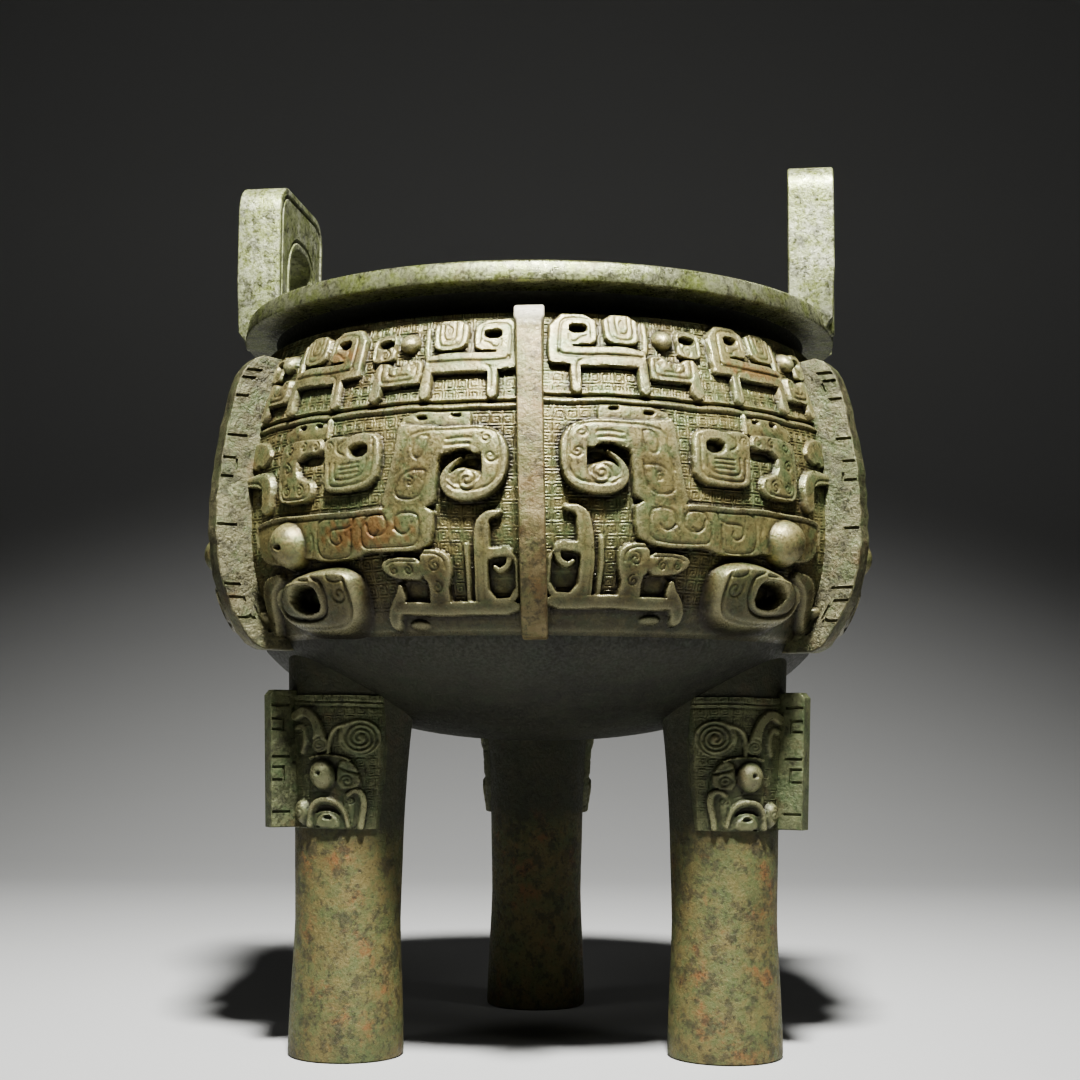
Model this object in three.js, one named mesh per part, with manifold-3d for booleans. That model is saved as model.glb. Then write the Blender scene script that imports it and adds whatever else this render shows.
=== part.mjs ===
// A bronze ding: a round, deep cooking vessel on three column legs, with two upright loop handles on
// its lip, six upright flanges round its belly and animal masks in relief between them.
// Cast in one piece, so it is one closed solid. Millimetres, +Z up, origin on the floor below the middle
// of the bowl. The front of the vessel, with a plain dividing flange, faces -Y.
import * as THREE from 'three';
import { mergeVertices } from 'three/addons/utils/BufferGeometryUtils.js';
import Module from 'manifold-3d';

// Bowl
const underBowlHeight = 189;   // floor to the lowest point of the bowl
const bellyDepth = 131;        // lowest point of the bowl up to its widest line
const bellyRadius = 203.5;     // ground of the relief, at the widest line
const lowerFullness = 2.3;     // 2 would be an ellipse, more is fuller
const upperReach = 243;        // half height of the ellipse that the upper wall follows
const wall = 8;
const floorThickness = 9;

// Neck and lip
const reliefAbove = 108;       // widest line up to the top of the carved band
const reliefBelow = 68;        // widest line down to its foot
const neckRise = 19;           // top of the carved band up to the lip
const neckRadius = 0.855 * bellyRadius;
const lipOverhang = 21;
const lipThickness = 13;
const lipEdge = 1.6;           // small worn edge of the lip

// Handles
const handleWidth = 106;
const handleRise = 92;         // above the top of the lip
const handleCorner = 20;
const handleOpening = { width: 54, height: 58, corner: 21 };
const handleTurn = 8;          // degrees clockwise, seen from above

// Legs
const legDistance = 0.6536 * bellyRadius;  // middle of the bowl to the middle of a leg
const footRadius = 35;
const waistRadius = 32;
const kneeRadius = 33.3;       // where the mask ends and the plain shaft begins
const shoulderRadius = 39;
const shoulderRise = 6;        // lowest point of the bowl up to the shoulder of a leg
const legMaskLength = 63;      // knee up to shoulder
const legRoot = 55;            // how far a leg runs on above its shoulder, into the bowl
const legSides = 16;

// Flanges
const flangeProud = 23;
const flangeThickness = 14.5;
const flangeEndCut = 11;       // the upper end of a flange slopes back to the neck
const noseFlange = { overTop: -5, underFoot: 9 };       // past the ends of the carved band
const dividingFlange = { overTop: 6, underFoot: 6 };
const frontFlangeLean = 1.4;   // degrees, top towards the left: the mould slipped a little
const frontFlangeShift = -1;   // degrees round the belly
const legFlange = { depth: 17, thickness: 11, aboveKnee: 4, aboveShoulder: 24, taper: 2.5 };

// Relief
const plateProud = 4.5;
const plateSlope = 0.7;        // the sides of a plate lean in by this much
const plateRoot = 7;           // how deep a plate is rooted in the wall
const maskProud = 3;
const bodySides = 24;          // facets round the bowl
const longestStep = 42;        // of a strap, before it takes an extra point
const widestStep = 15;         // the same, in degrees

const bellyHeight = underBowlHeight + bellyDepth;
const reliefTop = bellyHeight + reliefAbove;
const lipFoot = reliefTop + neckRise;
const lipTop = lipFoot + lipThickness;
const mouthRadius = neckRadius - wall;
const lipRadius = neckRadius + lipOverhang;
const shoulderHeight = underBowlHeight + shoulderRise;
const kneeHeight = shoulderHeight - legMaskLength;
const waistHeight = 0.62 * kneeHeight;

// The carving is drawn on a flat sheet, 60 units wide from a dividing flange to a nose flange, and this
// many units up and down from the widest line of the belly. The sheet is then wrapped round the bowl.
const sheet = { width: 60, above: 108, below: 68 };
// The mask of a leg is drawn on a sheet of its own: degrees round the leg, and this many units up.
const legSheet = { height: 63 };

const wasm = await Module();
wasm.setup();

const radians = THREE.MathUtils.degToRad;

function polar(radius, degrees, height) {
  const angle = radians(degrees);
  return new THREE.Vector3(radius * Math.sin(angle), -radius * Math.cos(angle), height);
}

// Radius of the bowl at a height: an ellipse above the widest line, a fuller curve below it.
function bowlRadius(height, inset = 0) {
  const rise = height - bellyHeight;
  if (rise >= 0) {
    return bellyRadius * Math.sqrt(1 - (rise / upperReach) ** 2) - inset;
  }
  const depth = bellyDepth - inset;
  const share = Math.min(-rise / depth, 1);
  return (bellyRadius - inset) * (1 - share ** lowerFullness) ** (1 / lowerFullness);
}

function toSolid(geometry) {
  const bare = geometry.clone();
  bare.deleteAttribute('normal');
  bare.deleteAttribute('uv');
  const merged = mergeVertices(bare, 1e-4);
  const triVerts = Uint32Array.from(merged.index.array);
  const vertProperties = Float32Array.from(merged.attributes.position.array);
  return new wasm.Manifold(new wasm.Mesh({ numProp: 3, vertProperties, triVerts }));
}

function toGeometry(solid) {
  const mesh = solid.getMesh();
  const geometry = new THREE.BufferGeometry();
  geometry.setAttribute('position', new THREE.BufferAttribute(Float32Array.from(mesh.vertProperties), 3));
  geometry.setIndex(new THREE.BufferAttribute(Uint32Array.from(mesh.triVerts), 1));
  return geometry;
}

// A solid from corner points and triangles; its faces are turned outwards whichever way it was drawn.
function solidFromFaces(corners, faces) {
  let volume = 0;
  for (const [a, b, c] of faces) {
    volume += corners[a].dot(corners[b].clone().cross(corners[c]));
  }
  const outward = volume < 0 ? faces.map(([a, b, c]) => [a, c, b]) : faces;
  const geometry = new THREE.BufferGeometry();
  const positions = corners.flatMap((corner) => corner.toArray());
  geometry.setAttribute('position', new THREE.Float32BufferAttribute(positions, 3));
  geometry.setIndex(outward.flat());
  return toSolid(geometry);
}

function latheSolid(profile, sides) {
  const points = profile.map(([radius, height]) => new THREE.Vector2(radius, height));
  const geometry = new THREE.LatheGeometry(points, sides);
  geometry.rotateX(Math.PI / 2);
  return toSolid(geometry);
}

// A flat plate whose outline is drawn in radius and height, standing on a radius of the bowl.
function uprightPlate(outline, thickness, degrees) {
  const shape = new THREE.Shape(outline.map(([radius, height]) => new THREE.Vector2(radius, height)));
  const geometry = new THREE.ExtrudeGeometry(shape, { depth: thickness, bevelEnabled: false });
  geometry.translate(0, 0, -thickness / 2);
  geometry.rotateX(Math.PI / 2);
  geometry.rotateZ(radians(degrees - 90));
  return toSolid(geometry);
}

function steps(from, to, count) {
  return Array.from({ length: count + 1 }, (unused, i) => from + ((to - from) * i) / count);
}

// Bowl

function bowlOutside() {
  const below = steps(0, 1, 4).map((share) => {
    const turn = (share * Math.PI) / 2;
    const height = bellyHeight - bellyDepth * Math.cos(turn) ** (2 / lowerFullness);
    return [bowlRadius(height), height];
  });
  below[0][0] = 0;
  const above = steps(bellyHeight, reliefTop, 2).slice(1).map((height) => [bowlRadius(height), height]);
  const neckFoot = reliefTop + 0.3 * neckRise;
  const neckTop = lipFoot - 0.15 * neckRise;
  return [
    ...below,
    ...above,
    [neckRadius, neckFoot],
    [neckRadius, neckTop],
    [neckRadius + 0.35 * lipOverhang, lipFoot],
    [lipRadius, lipFoot],
    [lipRadius, lipTop - lipEdge],
    [lipRadius - lipEdge, lipTop],
    [0, lipTop],
  ];
}

function bowlInside() {
  const depth = bellyDepth - floorThickness;
  const below = steps(0, 1, 4).map((share) => {
    const turn = (share * Math.PI) / 2;
    const height = bellyHeight - depth * Math.cos(turn) ** (2 / lowerFullness);
    return [(bellyRadius - wall) * Math.sin(turn) ** (2 / lowerFullness), height];
  });
  below[0][0] = 0;
  const throat = reliefTop - 10;
  const above = steps(bellyHeight, throat, 2).slice(1).map((height) => [bowlRadius(height, wall), height]);
  const clear = 10;
  return [
    ...below,
    ...above,
    [mouthRadius, reliefTop + 0.4 * neckRise],
    [mouthRadius, lipTop + clear],
    [0, lipTop + clear],
  ];
}

// Flanges

function bellyFlange({ overTop, underFoot }, degrees) {
  const foot = bellyHeight - reliefBelow - underFoot;
  const top = reliefTop + overTop;
  const edge = steps(foot, top - flangeEndCut, 7).map((height) => [bowlRadius(height) + flangeProud, height]);
  const outline = [
    [bowlRadius(foot) - wall, foot],
    ...edge,
    [bowlRadius(top) + 0.45 * flangeProud, top],
    [mouthRadius - wall, top],
  ];
  return uprightPlate(outline, flangeThickness, degrees);
}

function frontFlange() {
  const upright = bellyFlange(dividingFlange, 0);
  const leaning = upright.translate([0, 0, -bellyHeight]).rotate([0, -frontFlangeLean, 0]);
  return leaning.translate([0, 0, bellyHeight]).rotate([0, 0, frontFlangeShift]);
}

// Handles

function arch(path, halfWidth, foot, top, corner) {
  path.moveTo(-halfWidth, foot);
  path.lineTo(halfWidth, foot);
  path.lineTo(halfWidth, top - corner);
  path.absarc(halfWidth - corner, top - corner, corner, 0, Math.PI / 2);
  path.lineTo(-halfWidth + corner, top);
  path.absarc(-halfWidth + corner, top - corner, corner, Math.PI / 2, Math.PI);
  path.lineTo(-halfWidth, foot);
}

function handle(degrees) {
  const shape = new THREE.Shape();
  arch(shape, handleWidth / 2, lipFoot, lipTop + handleRise, handleCorner);
  const hole = new THREE.Path();
  const { width, height, corner } = handleOpening;
  arch(hole, width / 2, lipTop, lipTop + height, corner);
  shape.holes.push(hole);
  const depth = lipRadius - mouthRadius;
  const geometry = new THREE.ExtrudeGeometry(shape, { depth, bevelEnabled: false, curveSegments: 3 });
  geometry.translate(0, 0, mouthRadius);
  geometry.rotateX(Math.PI / 2);
  geometry.rotateZ(radians(degrees));
  return toSolid(geometry);
}

// Legs

function legShaft() {
  return latheSolid([
    [0, 0],
    [footRadius, 0],
    [waistRadius, waistHeight],
    [kneeRadius, kneeHeight],
    [0.5 * (kneeRadius + shoulderRadius), kneeHeight + 0.4 * legMaskLength],
    [shoulderRadius, shoulderHeight],
    [shoulderRadius, shoulderHeight + 0.55 * legRoot],
    [0.8 * shoulderRadius, shoulderHeight + 0.85 * legRoot],
    [0, shoulderHeight + legRoot],
  ], legSides);
}

function legPlate() {
  const { depth, thickness, aboveKnee, aboveShoulder, taper } = legFlange;
  const reach = shoulderRadius + depth;
  const foot = kneeHeight + aboveKnee;
  const top = shoulderHeight + aboveShoulder;
  return uprightPlate([[0, foot], [reach - taper, foot], [reach, top], [0, top]], thickness, 0);
}

// Relief. A surface turns sheet coordinates and a height above the ground into a point in space.

function bellySurface({ from, to, drop }) {
  return {
    unit: radians(1) * bellyRadius,
    place(across, up, proud) {
      const degrees = from + ((to - from) * across) / sheet.width;
      const rise = up > 0 ? (up * reliefAbove) / sheet.above : (up * reliefBelow) / sheet.below;
      const height = bellyHeight + rise;
      return polar(bowlRadius(height) + proud, degrees, height - drop);
    },
  };
}

function legRadius(height) {
  const share = THREE.MathUtils.clamp((height - kneeHeight) / (shoulderHeight - kneeHeight), 0, 1);
  return kneeRadius + (shoulderRadius - kneeRadius) * share;
}

function legSurface(side) {
  return {
    unit: radians(1) * kneeRadius,
    place(across, up, proud) {
      const height = kneeHeight + (up * legMaskLength) / legSheet.height;
      return polar(legRadius(height) + proud, side * across, height);
    },
  };
}

// Adds points to a path so that the strap laid along it follows the curve of the wall.
function withExtraPoints(path, unit) {
  const fine = [path[0]];
  for (let i = 1; i < path.length; i += 1) {
    const before = path[i - 1];
    const after = path[i];
    const turn = Math.abs(after.x - before.x) / (widestStep * unit);
    const rise = Math.abs(after.y - before.y) / longestStep;
    const count = Math.max(1, Math.ceil(Math.max(turn, rise) - 0.15));
    for (const share of steps(0, 1, count).slice(1)) {
      fine.push({
        x: before.x + (after.x - before.x) * share,
        y: before.y + (after.y - before.y) * share,
        width: before.width + (after.width - before.width) * share,
      });
    }
  }
  return fine;
}

// A raised strap of metal with a flat top and sloping sides. Its path is a list of [across, up], with a
// third number where the strap changes its width.
function strap(surface, drawn, width, proud = plateProud) {
  let current = width;
  const path = drawn.map(([across, up, newWidth]) => {
    current = newWidth ?? current;
    return { x: across * surface.unit, y: up, width: current };
  });
  const points = withExtraPoints(path, surface.unit);
  const corners = [];
  const faces = [];
  points.forEach((point, i) => {
    const before = points[Math.max(i - 1, 0)];
    const after = points[Math.min(i + 1, points.length - 1)];
    const incoming = new THREE.Vector2(point.x - before.x, point.y - before.y).normalize();
    const outgoing = new THREE.Vector2(after.x - point.x, after.y - point.y).normalize();
    const along = incoming.clone().add(outgoing).normalize();
    const straight = i > 0 && i < points.length - 1 ? Math.max(along.dot(outgoing), 0.62) : 1;
    const half = point.width / 2 / straight;
    const topHalf = Math.max(half - plateSlope, 0.2);
    const edges = [[half, -plateRoot], [topHalf, proud], [-topHalf, proud], [-half, -plateRoot]];
    for (const [offset, height] of edges) {
      const x = (point.x - along.y * offset) / surface.unit;
      corners.push(surface.place(x, point.y + along.x * offset, height));
    }
  });
  const last = 4 * (points.length - 1);
  for (let start = 0; start < last; start += 4) {
    for (let edge = 0; edge < 4; edge += 1) {
      const a = start + edge;
      const b = start + ((edge + 1) % 4);
      faces.push([a, b, b + 4], [a, b + 4, a + 4]);
    }
  }
  faces.push([0, 2, 1], [0, 3, 2], [last, last + 1, last + 2], [last, last + 2, last + 3]);
  return solidFromFaces(corners, faces);
}

// A rounded boss, such as an eye: an ellipsoid half sunk in the wall.
function boss(surface, [across, up], halfWidth, halfHeight, proud, sides = 6) {
  const geometry = new THREE.SphereGeometry(1, sides, 0.5 * sides);
  const middle = surface.place(across, up, 0);
  const out = surface.place(across, up, 1).sub(middle).normalize();
  const upward = new THREE.Vector3(0, 0, 1);
  const sideways = new THREE.Vector3().crossVectors(out, upward);
  const frame = new THREE.Matrix4().makeBasis(
    sideways.multiplyScalar(halfWidth),
    out.clone().multiplyScalar(proud),
    upward.multiplyScalar(halfHeight),
  );
  geometry.applyMatrix4(frame);
  geometry.translate(middle.x, middle.y, middle.z);
  return toSolid(geometry);
}

// Upper register: one small dragon, drawn as a hook rising at both ends of a double bar with two feet.
function smallDragon(surface, start) {
  const at = ([across, up, width]) => [across + start, up, width];
  return [
    strap(surface, [[8.8, 105], [3.1, 105], [3.1, 87.5], [18.3, 87.5], [18.3, 107]].map(at), 6.4),
    strap(surface, [[6, 64.5], [6, 81.5], [17.2, 81.5], [17.2, 65]].map(at), 6.6),
  ];
}

// Upper register: a round eye over a square scroll, between two dragons.
function eyeAndScroll(surface, start, squeeze) {
  const at = ([across, up, width]) => [start + (across - 19) * squeeze, up, width];
  return [
    boss(surface, at([21.8, 97.5]), 6.8, 5.6, plateProud + 3),
    strap(surface, [[19, 81], [27.5, 81]].map(at), 11),
  ];
}

// Lower register: the tail that rises from the cheek, turns over and rolls up in a tapering spiral.
function tailCurl(surface) {
  return [
    strap(surface, [
      [18.6, -4, 27], [18.4, 36, 24], [6.6, 40, 14], [5.5, 14, 11.5], [12.4, 11, 8], [11.2, 27, 2.5],
    ], 12),
  ];
}

// Lower register: the C-shaped horn, the ear beside it and the curl against the nose flange.
function hornAndEar(surface) {
  return [
    strap(surface, [[31.5, 43], [26, 43], [26, 16], [34.6, 16], [34.6, 45, 6]], 8),
    strap(surface, [[37.5, 41], [44.6, 41], [44.6, 12]], 13),
    strap(surface, [[57.5, 26], [50.5, 25], [50.5, 7]], 12),
  ];
}

// Lower register: cheek and brow, with the great eye that stands out from them.
function faceAndEye(surface) {
  return [
    strap(surface, [[22, -12], [52, -12]], 22),
    boss(surface, [43, -17], 15.5, 14, 15, 8),
  ];
}

// Lower register: the clawed foreleg beside the dividing flange and the scrolls of its foot.
function clawedLeg(surface) {
  return [
    strap(surface, [[7.2, -4], [7.2, -53]], 6.5),
    strap(surface, [[7.2, -24.5], [1.9, -24.5], [1.9, -35]], 5.5),
    strap(surface, [[22, -32.5], [13.6, -32.5, 9], [13.6, -54], [23, -55, 6]], 11),
  ];
}

// Lower register: the rolled snout, which stands furthest out, and the whisker ridge beyond it.
function snout(surface) {
  return [
    strap(surface, [
      [32.4, -31, 18], [33.5, -56, 20], [44.5, -60, 12], [46.2, -47, 10], [41, -42, 3],
    ], 12, plateProud + 6),
    strap(surface, [[48, -33], [54.5, -55]], 7),
    boss(surface, [57.5, -54], 7.5, 5, plateProud + 4),
  ];
}

function halfPanel(surface) {
  const dragonPitch = 29.5;
  return [
    ...smallDragon(surface, 0),
    ...eyeAndScroll(surface, 19, 1),
    ...smallDragon(surface, dragonPitch),
    ...eyeAndScroll(surface, 19 + dragonPitch + 1, 0.8),
    ...tailCurl(surface),
    ...hornAndEar(surface),
    ...faceAndEye(surface),
    ...clawedLeg(surface),
    ...snout(surface),
  ];
}

// Half of the mask at the head of a leg, drawn from its flange towards the inner side of the leg: an eye,
// the arch of the mouth, a cheek that ends in a fang, a horn and the scroll beside the flange.
function halfLegMask(surface) {
  return [
    boss(surface, [42, 37], 7.2, 7.6, maskProud + 5),
    strap(surface, [[31, 6], [48, 19], [72, 5]], 5, maskProud + 1),
    strap(surface, [[76, 33], [76, 18, 5]], 16, maskProud),
    strap(surface, [[48, 62], [86, 62]], 12, maskProud),
    strap(surface, [[22, 74], [28, 51]], 10, maskProud),
  ];
}

const legSolid = wasm.Manifold.union([
  legShaft(),
  legPlate(),
  ...halfLegMask(legSurface(1)),
  ...halfLegMask(legSurface(-1)),
]);

function legAt(degrees) {
  const place = polar(legDistance, degrees, 0);
  return legSolid.rotate([0, 0, degrees]).translate([place.x, place.y, 0]);
}

// The two front halves differ a little, as the two moulds did: the left one sits lower and narrower.
const halfPanels = [
  { from: 0, to: 60, drop: 0 },
  { from: -1.8, to: -60, drop: 3.5 },
  { from: 120, to: 60, drop: 0 },
  { from: 120, to: 180, drop: 0 },
  { from: -120, to: -60, drop: 0 },
  { from: -120, to: -180, drop: 0 },
];

const noseFlangeAngles = [60, 180, -60];
const legAngles = noseFlangeAngles;

const outside = wasm.Manifold.union([
  latheSolid(bowlOutside(), bodySides),
  ...noseFlangeAngles.map((degrees) => bellyFlange(noseFlange, degrees)),
  bellyFlange(dividingFlange, 120),
  bellyFlange(dividingFlange, -120),
  frontFlange(),
  ...halfPanels.flatMap((half) => halfPanel(bellySurface(half))),
  ...legAngles.map(legAt),
]);
const hollow = outside.subtract(latheSolid(bowlInside(), bodySides));
const vessel = hollow.add(handle(90 - handleTurn)).add(handle(-90 - handleTurn));

const bronze = new THREE.MeshStandardMaterial({ color: 0x6f7560, roughness: 0.62, metalness: 0.75 });

const ding = new THREE.Group();
const body = new THREE.Mesh(toGeometry(vessel), bronze);
body.name = 'ding_vessel';
ding.add(body);

export default ding;
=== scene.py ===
# %% [markdown]
# # A bronze ding vessel
# A ding is a cast bronze cooking vessel: a deep round bowl on three column legs, with two loop handles
# on its lip. This one carries masks in relief, a ground of square spirals, and upright flanges where
# the pieces of the clay mould met. The script builds each piece in the order a caster would name them:
# bowl, carved band, flanges, handles and legs, and then gives them the patina of a buried bronze.

# %% Load the model that fixes the size
from math import cos, pi, radians, sin

import bmesh
import bpy
import numpy as np
from mathutils import Matrix, Vector


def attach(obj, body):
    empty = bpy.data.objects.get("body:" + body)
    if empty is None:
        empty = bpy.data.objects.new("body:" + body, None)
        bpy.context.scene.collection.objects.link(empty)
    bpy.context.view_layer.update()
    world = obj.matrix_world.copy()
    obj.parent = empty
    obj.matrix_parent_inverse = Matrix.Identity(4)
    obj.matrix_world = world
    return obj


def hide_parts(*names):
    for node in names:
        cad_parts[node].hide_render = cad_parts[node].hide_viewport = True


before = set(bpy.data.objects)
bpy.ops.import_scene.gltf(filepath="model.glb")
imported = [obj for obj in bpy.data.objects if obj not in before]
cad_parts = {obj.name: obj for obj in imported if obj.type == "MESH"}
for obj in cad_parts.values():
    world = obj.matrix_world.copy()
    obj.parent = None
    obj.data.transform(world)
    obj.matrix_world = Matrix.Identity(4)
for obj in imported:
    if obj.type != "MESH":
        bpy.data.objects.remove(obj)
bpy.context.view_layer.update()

bpy.ops.object.select_all(action="DESELECT")

# %% [markdown]
# ## Sizes
# Blender works in metres and a caster in millimetres, so every size below is in millimetres and is
# turned into metres only where a point is made. Places on a round vessel are easiest to give as an
# azimuth (0 at the front, 90 at the right-hand side), a radius and a height.

# %% Sizes of the vessel
MM = 0.001
BELLY_HEIGHT = 320        # the widest line of the bowl
BELLY_RADIUS = 203.5      # ground of the relief there
BELLY_DEPTH = 131         # widest line down to the lowest point
UPPER_REACH = 243         # half height of the ellipse that the upper wall follows
FULLNESS = 2.3            # 2 would be an ellipse, more is fuller
WALL = 8
BAND_FOOT, BAND_TOP = 252, 430
NECK_RADIUS, LIP_RADIUS, MOUTH_RADIUS = 174, 195, 166
LIP_FOOT, LIP_TOP = 447, 460
LEG_CIRCLE = 133
LEG_ANGLES = (60, -60, 180)
HALF_PANEL = 60           # degrees from a dividing flange to a nose flange


def bowl_radius(height):
    rise = np.asarray(height, float) - BELLY_HEIGHT
    upper = np.sqrt(np.clip(1 - (rise / UPPER_REACH) ** 2, 0, 1))
    depth = np.clip(-rise / BELLY_DEPTH, 0, 1)
    lower = (1 - depth ** FULLNESS) ** (1 / FULLNESS)
    return BELLY_RADIUS * np.where(rise >= 0, upper, lower)


print("radius at the top of the band", round(float(bowl_radius(BAND_TOP)), 1))

# %% [markdown]
# ## Camera
# The photograph was taken from low down and close by: the lens is below the middle of the bowl and
# looks up a little, so the mouth isn't seen. A close camera makes the near flange large and turns the
# handles outwards. The place and lens below were worked out by least squares from both edges of the
# lip, the line between the two carved registers, and the two front feet.

# %% Camera at the photograph's place
PHOTO_SIZE = 1080         # pixels each way
FOCAL_PIXELS = 1737
camera_data = bpy.data.cameras.new("camera")
camera_data.sensor_width = 36
camera_data.lens = camera_data.sensor_width * FOCAL_PIXELS / PHOTO_SIZE
camera = bpy.data.objects.new("camera", camera_data)
bpy.context.collection.objects.link(camera)
camera.location = (0, -1.149, 0.1965)
tilt, roll, yaw = radians(90 + 6.21), radians(0.34), radians(-0.05)
camera.rotation_euler = (Matrix.Rotation(yaw, 3, "Z") @ Matrix.Rotation(tilt, 3, "X")
                         @ Matrix.Rotation(roll, 3, "Z")).to_euler()
bpy.context.scene.camera = camera
print("lens", round(camera_data.lens, 1), "mm")

# %% [markdown]
# ## Floor and light
# A plain pale floor that curves up into a wall gives a calm background with no edge. Relief needs a
# light that rakes down across it: one soft lamp high in front draws a shadow under every raised band,
# and two weak lamps at the sides keep the shadows open.

# %% Floor
bpy.ops.mesh.primitive_plane_add(size=1)
floor = bpy.context.object
floor.name = "floor"
bpy.ops.object.mode_set(mode="EDIT")
bpy.ops.transform.resize(value=(9, 5, 1))
bpy.ops.transform.translate(value=(0, -1.35, 0))
bpy.ops.mesh.select_all(action="DESELECT")
floor_mesh = bmesh.from_edit_mesh(floor.data)
for edge in floor_mesh.edges:
    if all(vertex.co.y > 0 for vertex in edge.verts):
        edge.select_set(True)
bmesh.update_edit_mesh(floor.data)
SWEEP_STEPS, SWEEP_LENGTH, WALL_HEIGHT = 12, 0.16, 4      # the lengths are in metres
for step in range(SWEEP_STEPS):
    slope = (step + 0.5) / SWEEP_STEPS * pi / 2
    rise = (0, SWEEP_LENGTH * cos(slope), SWEEP_LENGTH * sin(slope))
    bpy.ops.mesh.extrude_region_move(TRANSFORM_OT_translate={"value": rise})
bpy.ops.mesh.extrude_region_move(TRANSFORM_OT_translate={"value": (0, 0, WALL_HEIGHT)})
bpy.ops.object.mode_set(mode="OBJECT")
bpy.ops.object.shade_smooth()
print("floor", [round(v, 2) for v in floor.dimensions])

# %% Light
def soft_lamp(name, place, aim, size, watts):
    lamp = bpy.data.lights.new(name, "AREA")
    lamp.shape = "DISK"
    lamp.size = size
    lamp.energy = watts
    holder = bpy.data.objects.new(name, lamp)
    bpy.context.collection.objects.link(holder)
    holder.location = place
    holder.rotation_euler = (Vector(aim) - Vector(place)).to_track_quat("-Z", "Y").to_euler()
    return holder


key = soft_lamp("key_lamp", (0.05, -1.21, 2.18), (0, 0.05, 0.3), 0.3, 37)
key.data.spread = radians(66)
soft_lamp("left_lamp", (-1.5, -1.0, 1.5), (0, 0, 0.25), 0.6, 4)
soft_lamp("right_lamp", (1.5, -1.0, 1.5), (0, 0, 0.25), 0.6, 4)
world = bpy.data.worlds.new("studio")
world.use_nodes = True
world.node_tree.nodes["Background"].inputs["Color"].default_value = (0.42, 0.43, 0.45, 1)
world.node_tree.nodes["Background"].inputs["Strength"].default_value = 0.03
bpy.context.scene.view_settings.look = "AgX - Medium High Contrast"
bpy.context.scene.world = world

# %% [markdown]
# ## The bowl
# The bowl is round, so it could be a scaled sphere, a lathe modifier or an outline spun about an upright
# axis. A spun outline is like shaping clay with a template turned about a post, and it gives the wall
# its true thickness. The outline starts as one point, is drawn out point by point, and is then spun.
# Behind the carved band it is set back, because the band is laid on it there.

# %% Outline of the bowl
SET_BACK = 3              # the bowl is this much smaller behind the carved band
BOTTOM_WALL = 9
TURNS = 224               # faces round the bowl


def spin_outline(name, outline, turns, centre=(0, 0)):
    """Spins an outline of (radius, height) points, from the axis back to the axis, into a closed body."""
    bpy.ops.object.select_all(action="DESELECT")
    bpy.ops.mesh.primitive_plane_add(size=MM)
    piece = bpy.context.object
    piece.name = name
    bpy.ops.object.mode_set(mode="EDIT")
    bpy.ops.mesh.select_mode(type="VERT")
    bpy.ops.mesh.select_all(action="SELECT")
    bpy.ops.mesh.merge(type="CENTER")
    middle = Vector((*centre, 0)) * MM
    place = Vector((0, 0, 0))
    for radius, height in outline:
        point = middle + Vector((0, -radius, height)) * MM
        if (radius, height) == outline[0]:
            bpy.ops.transform.translate(value=point - place)
        else:
            bpy.ops.mesh.extrude_region_move(TRANSFORM_OT_translate={"value": point - place})
        place = point
    bpy.ops.mesh.select_all(action="SELECT")
    bpy.ops.mesh.spin(steps=turns, angle=2 * pi, center=middle, axis=(0, 0, 1))
    bpy.ops.mesh.select_all(action="SELECT")
    bpy.ops.mesh.remove_doubles(threshold=0.02 * MM)
    bpy.ops.mesh.normals_make_consistent(inside=False)
    bpy.ops.object.mode_set(mode="OBJECT")
    bpy.ops.object.shade_smooth_by_angle(angle=radians(40))
    return piece


def wall_outline(heights, inset):
    return [(float(bowl_radius(height)) - inset, float(height)) for height in heights]


under = BELLY_HEIGHT - BELLY_DEPTH * np.cos(np.linspace(0, 1.12, 22)) ** (2 / FULLNESS)
under = under[under < BAND_FOOT - 4]
band = np.linspace(BAND_FOOT + 1, BAND_TOP - 3, 24)
outside = wall_outline(under, 0)
outside[0] = (0, outside[0][1])
outside += wall_outline(band, SET_BACK)
neck = [(NECK_RADIUS + 6, BAND_TOP - 1), (NECK_RADIUS + 1, BAND_TOP + 2), (NECK_RADIUS, BAND_TOP + 6),
        (NECK_RADIUS, LIP_FOOT - 3), (NECK_RADIUS + 1, LIP_FOOT - 0.8), (NECK_RADIUS + 3, LIP_FOOT)]
lip = [(LIP_RADIUS - 1.2, LIP_FOOT), (LIP_RADIUS - 0.2, LIP_FOOT + 0.8), (LIP_RADIUS, LIP_FOOT + 2),
       (LIP_RADIUS - 1.5, LIP_TOP - 2.2), (LIP_RADIUS - 2.4, LIP_TOP - 0.7), (LIP_RADIUS - 4, LIP_TOP),
       (MOUTH_RADIUS + 1.5, LIP_TOP), (MOUTH_RADIUS, LIP_TOP - 1.5), (MOUTH_RADIUS, BAND_TOP + 8)]
throat = wall_outline(np.linspace(BAND_TOP - 12, BELLY_HEIGHT, 9), WALL)
inside = [((BELLY_RADIUS - WALL) * sin(t) ** (2 / FULLNESS),
           BELLY_HEIGHT - (BELLY_DEPTH - BOTTOM_WALL) * cos(t) ** (2 / FULLNESS))
          for t in np.linspace(pi / 2, 0, 20)[1:]]
inside[-1] = (0, BELLY_HEIGHT - BELLY_DEPTH + BOTTOM_WALL)
bowl = spin_outline("bowl", outside + neck + lip + throat + inside, TURNS)
print("bowl", len(bowl.data.polygons), "faces,", [round(1000 * v) for v in bowl.dimensions], "mm")

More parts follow.
